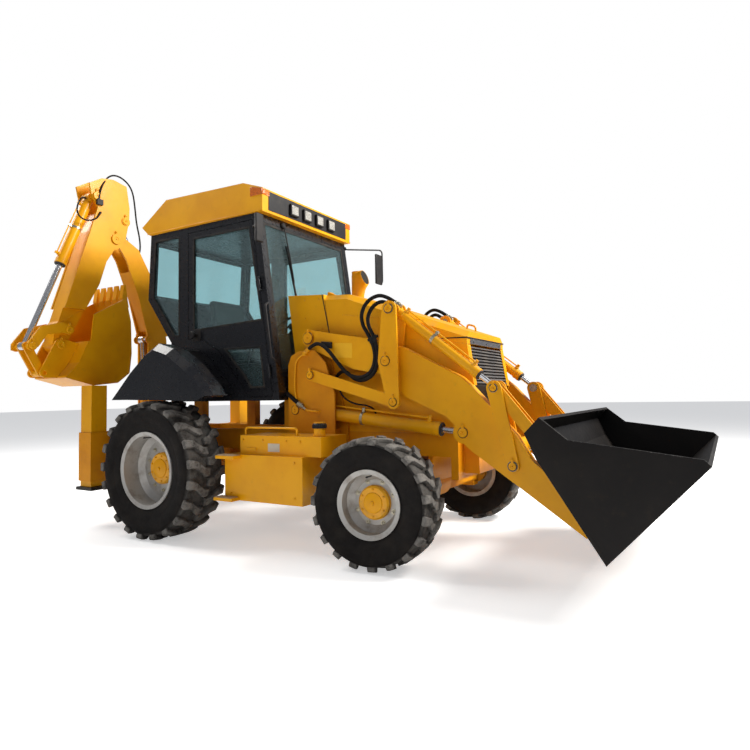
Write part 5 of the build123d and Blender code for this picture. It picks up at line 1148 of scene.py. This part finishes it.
# ---------------------------------------------------------------- floor, light and camera
bm = bmesh.new()
bmesh.ops.create_grid(bm, x_segments=1, y_segments=1, size=60.0)
mesh = bpy.data.meshes.new("floor")
bm.to_mesh(mesh)
bm.free()
floor = bpy.data.objects.new("floor", mesh)
scene.collection.objects.link(floor)
mat, tree, shader, place = new_finish("floor_pale")
rays = tree.nodes.new("ShaderNodeLightPath")
wire(tree, shader, Base_Color=rgb(0.92, 0.92, 0.92), Roughness=0.9, Specular_IOR_Level=0.1,
     Emission_Color=rgb(1.0, 1.0, 1.0), Emission_Strength=scaled(tree, rays.outputs["Is Camera Ray"], 0.45))
mesh.materials.append(mat)

AMBIENT = 0.23             # strength of the surrounding light on surfaces
world = bpy.data.worlds.new("studio")
scene.world = world
world.use_nodes = True
tree = world.node_tree
background = tree.nodes["Background"]
rays = tree.nodes.new("ShaderNodeLightPath")
seen = math_node(tree, "MAXIMUM", rays.outputs["Is Camera Ray"], rays.outputs["Is Transmission Ray"])
wire(tree, background, Color=blend_colour(tree, seen, rgb(0.88, 0.92, 1.0), rgb(1.0, 1.0, 1.0)),
     Strength=scaled(tree, seen, 1.0 - AMBIENT, AMBIENT))


def lamp(name, at, aim, size, power, colour):
    """A soft rectangular light aimed at a point."""
    light = bpy.data.lights.new(name, "AREA")
    light.shape = "RECTANGLE"
    light.size, light.size_y = size
    light.energy = power
    light.color = colour
    obj = bpy.data.objects.new(name, light)
    obj.location = at
    obj.rotation_euler = (Vector(aim) - Vector(at)).to_track_quat("-Z", "Y").to_euler()
    scene.collection.objects.link(obj)


lamp("key", (8.5, 3.5, 8.0), (1.0, 0.0, 1.2), (4.0, 4.0), 1900, (1.0, 0.97, 0.92))
lamp("fill", (3.0, -9.0, 4.5), (0.8, 0.0, 1.0), (6.0, 4.0), 90, (1.0, 0.98, 0.96))
lamp("rear_top", (-6.0, -1.5, 8.0), (0.0, 0.0, 1.5), (5.0, 4.0), 700, (1.0, 0.98, 0.95))

EYE = Vector((4.339, -4.618, 1.218))
YAW, PITCH, ROLL = math.radians(30.76), math.radians(3.18), -0.017
ahead = Vector((-math.sin(YAW) * math.cos(PITCH), math.cos(YAW) * math.cos(PITCH), math.sin(PITCH)))
level = Vector((math.cos(YAW), math.sin(YAW), 0.0))
right = level * math.cos(ROLL) + level.cross(ahead) * math.sin(ROLL)
up = right.cross(ahead)
camera_data = bpy.data.cameras.new("camera")
camera_data.sensor_width = 36.0
camera_data.lens = 28.46
camera_data.shift_y = -0.0182
camera = bpy.data.objects.new("camera", camera_data)
turn = Matrix((right, up, -ahead)).transposed().to_4x4()
camera.matrix_world = Matrix.Translation(EYE) @ turn
scene.collection.objects.link(camera)
scene.camera = camera

scene.view_settings.view_transform = "Standard"
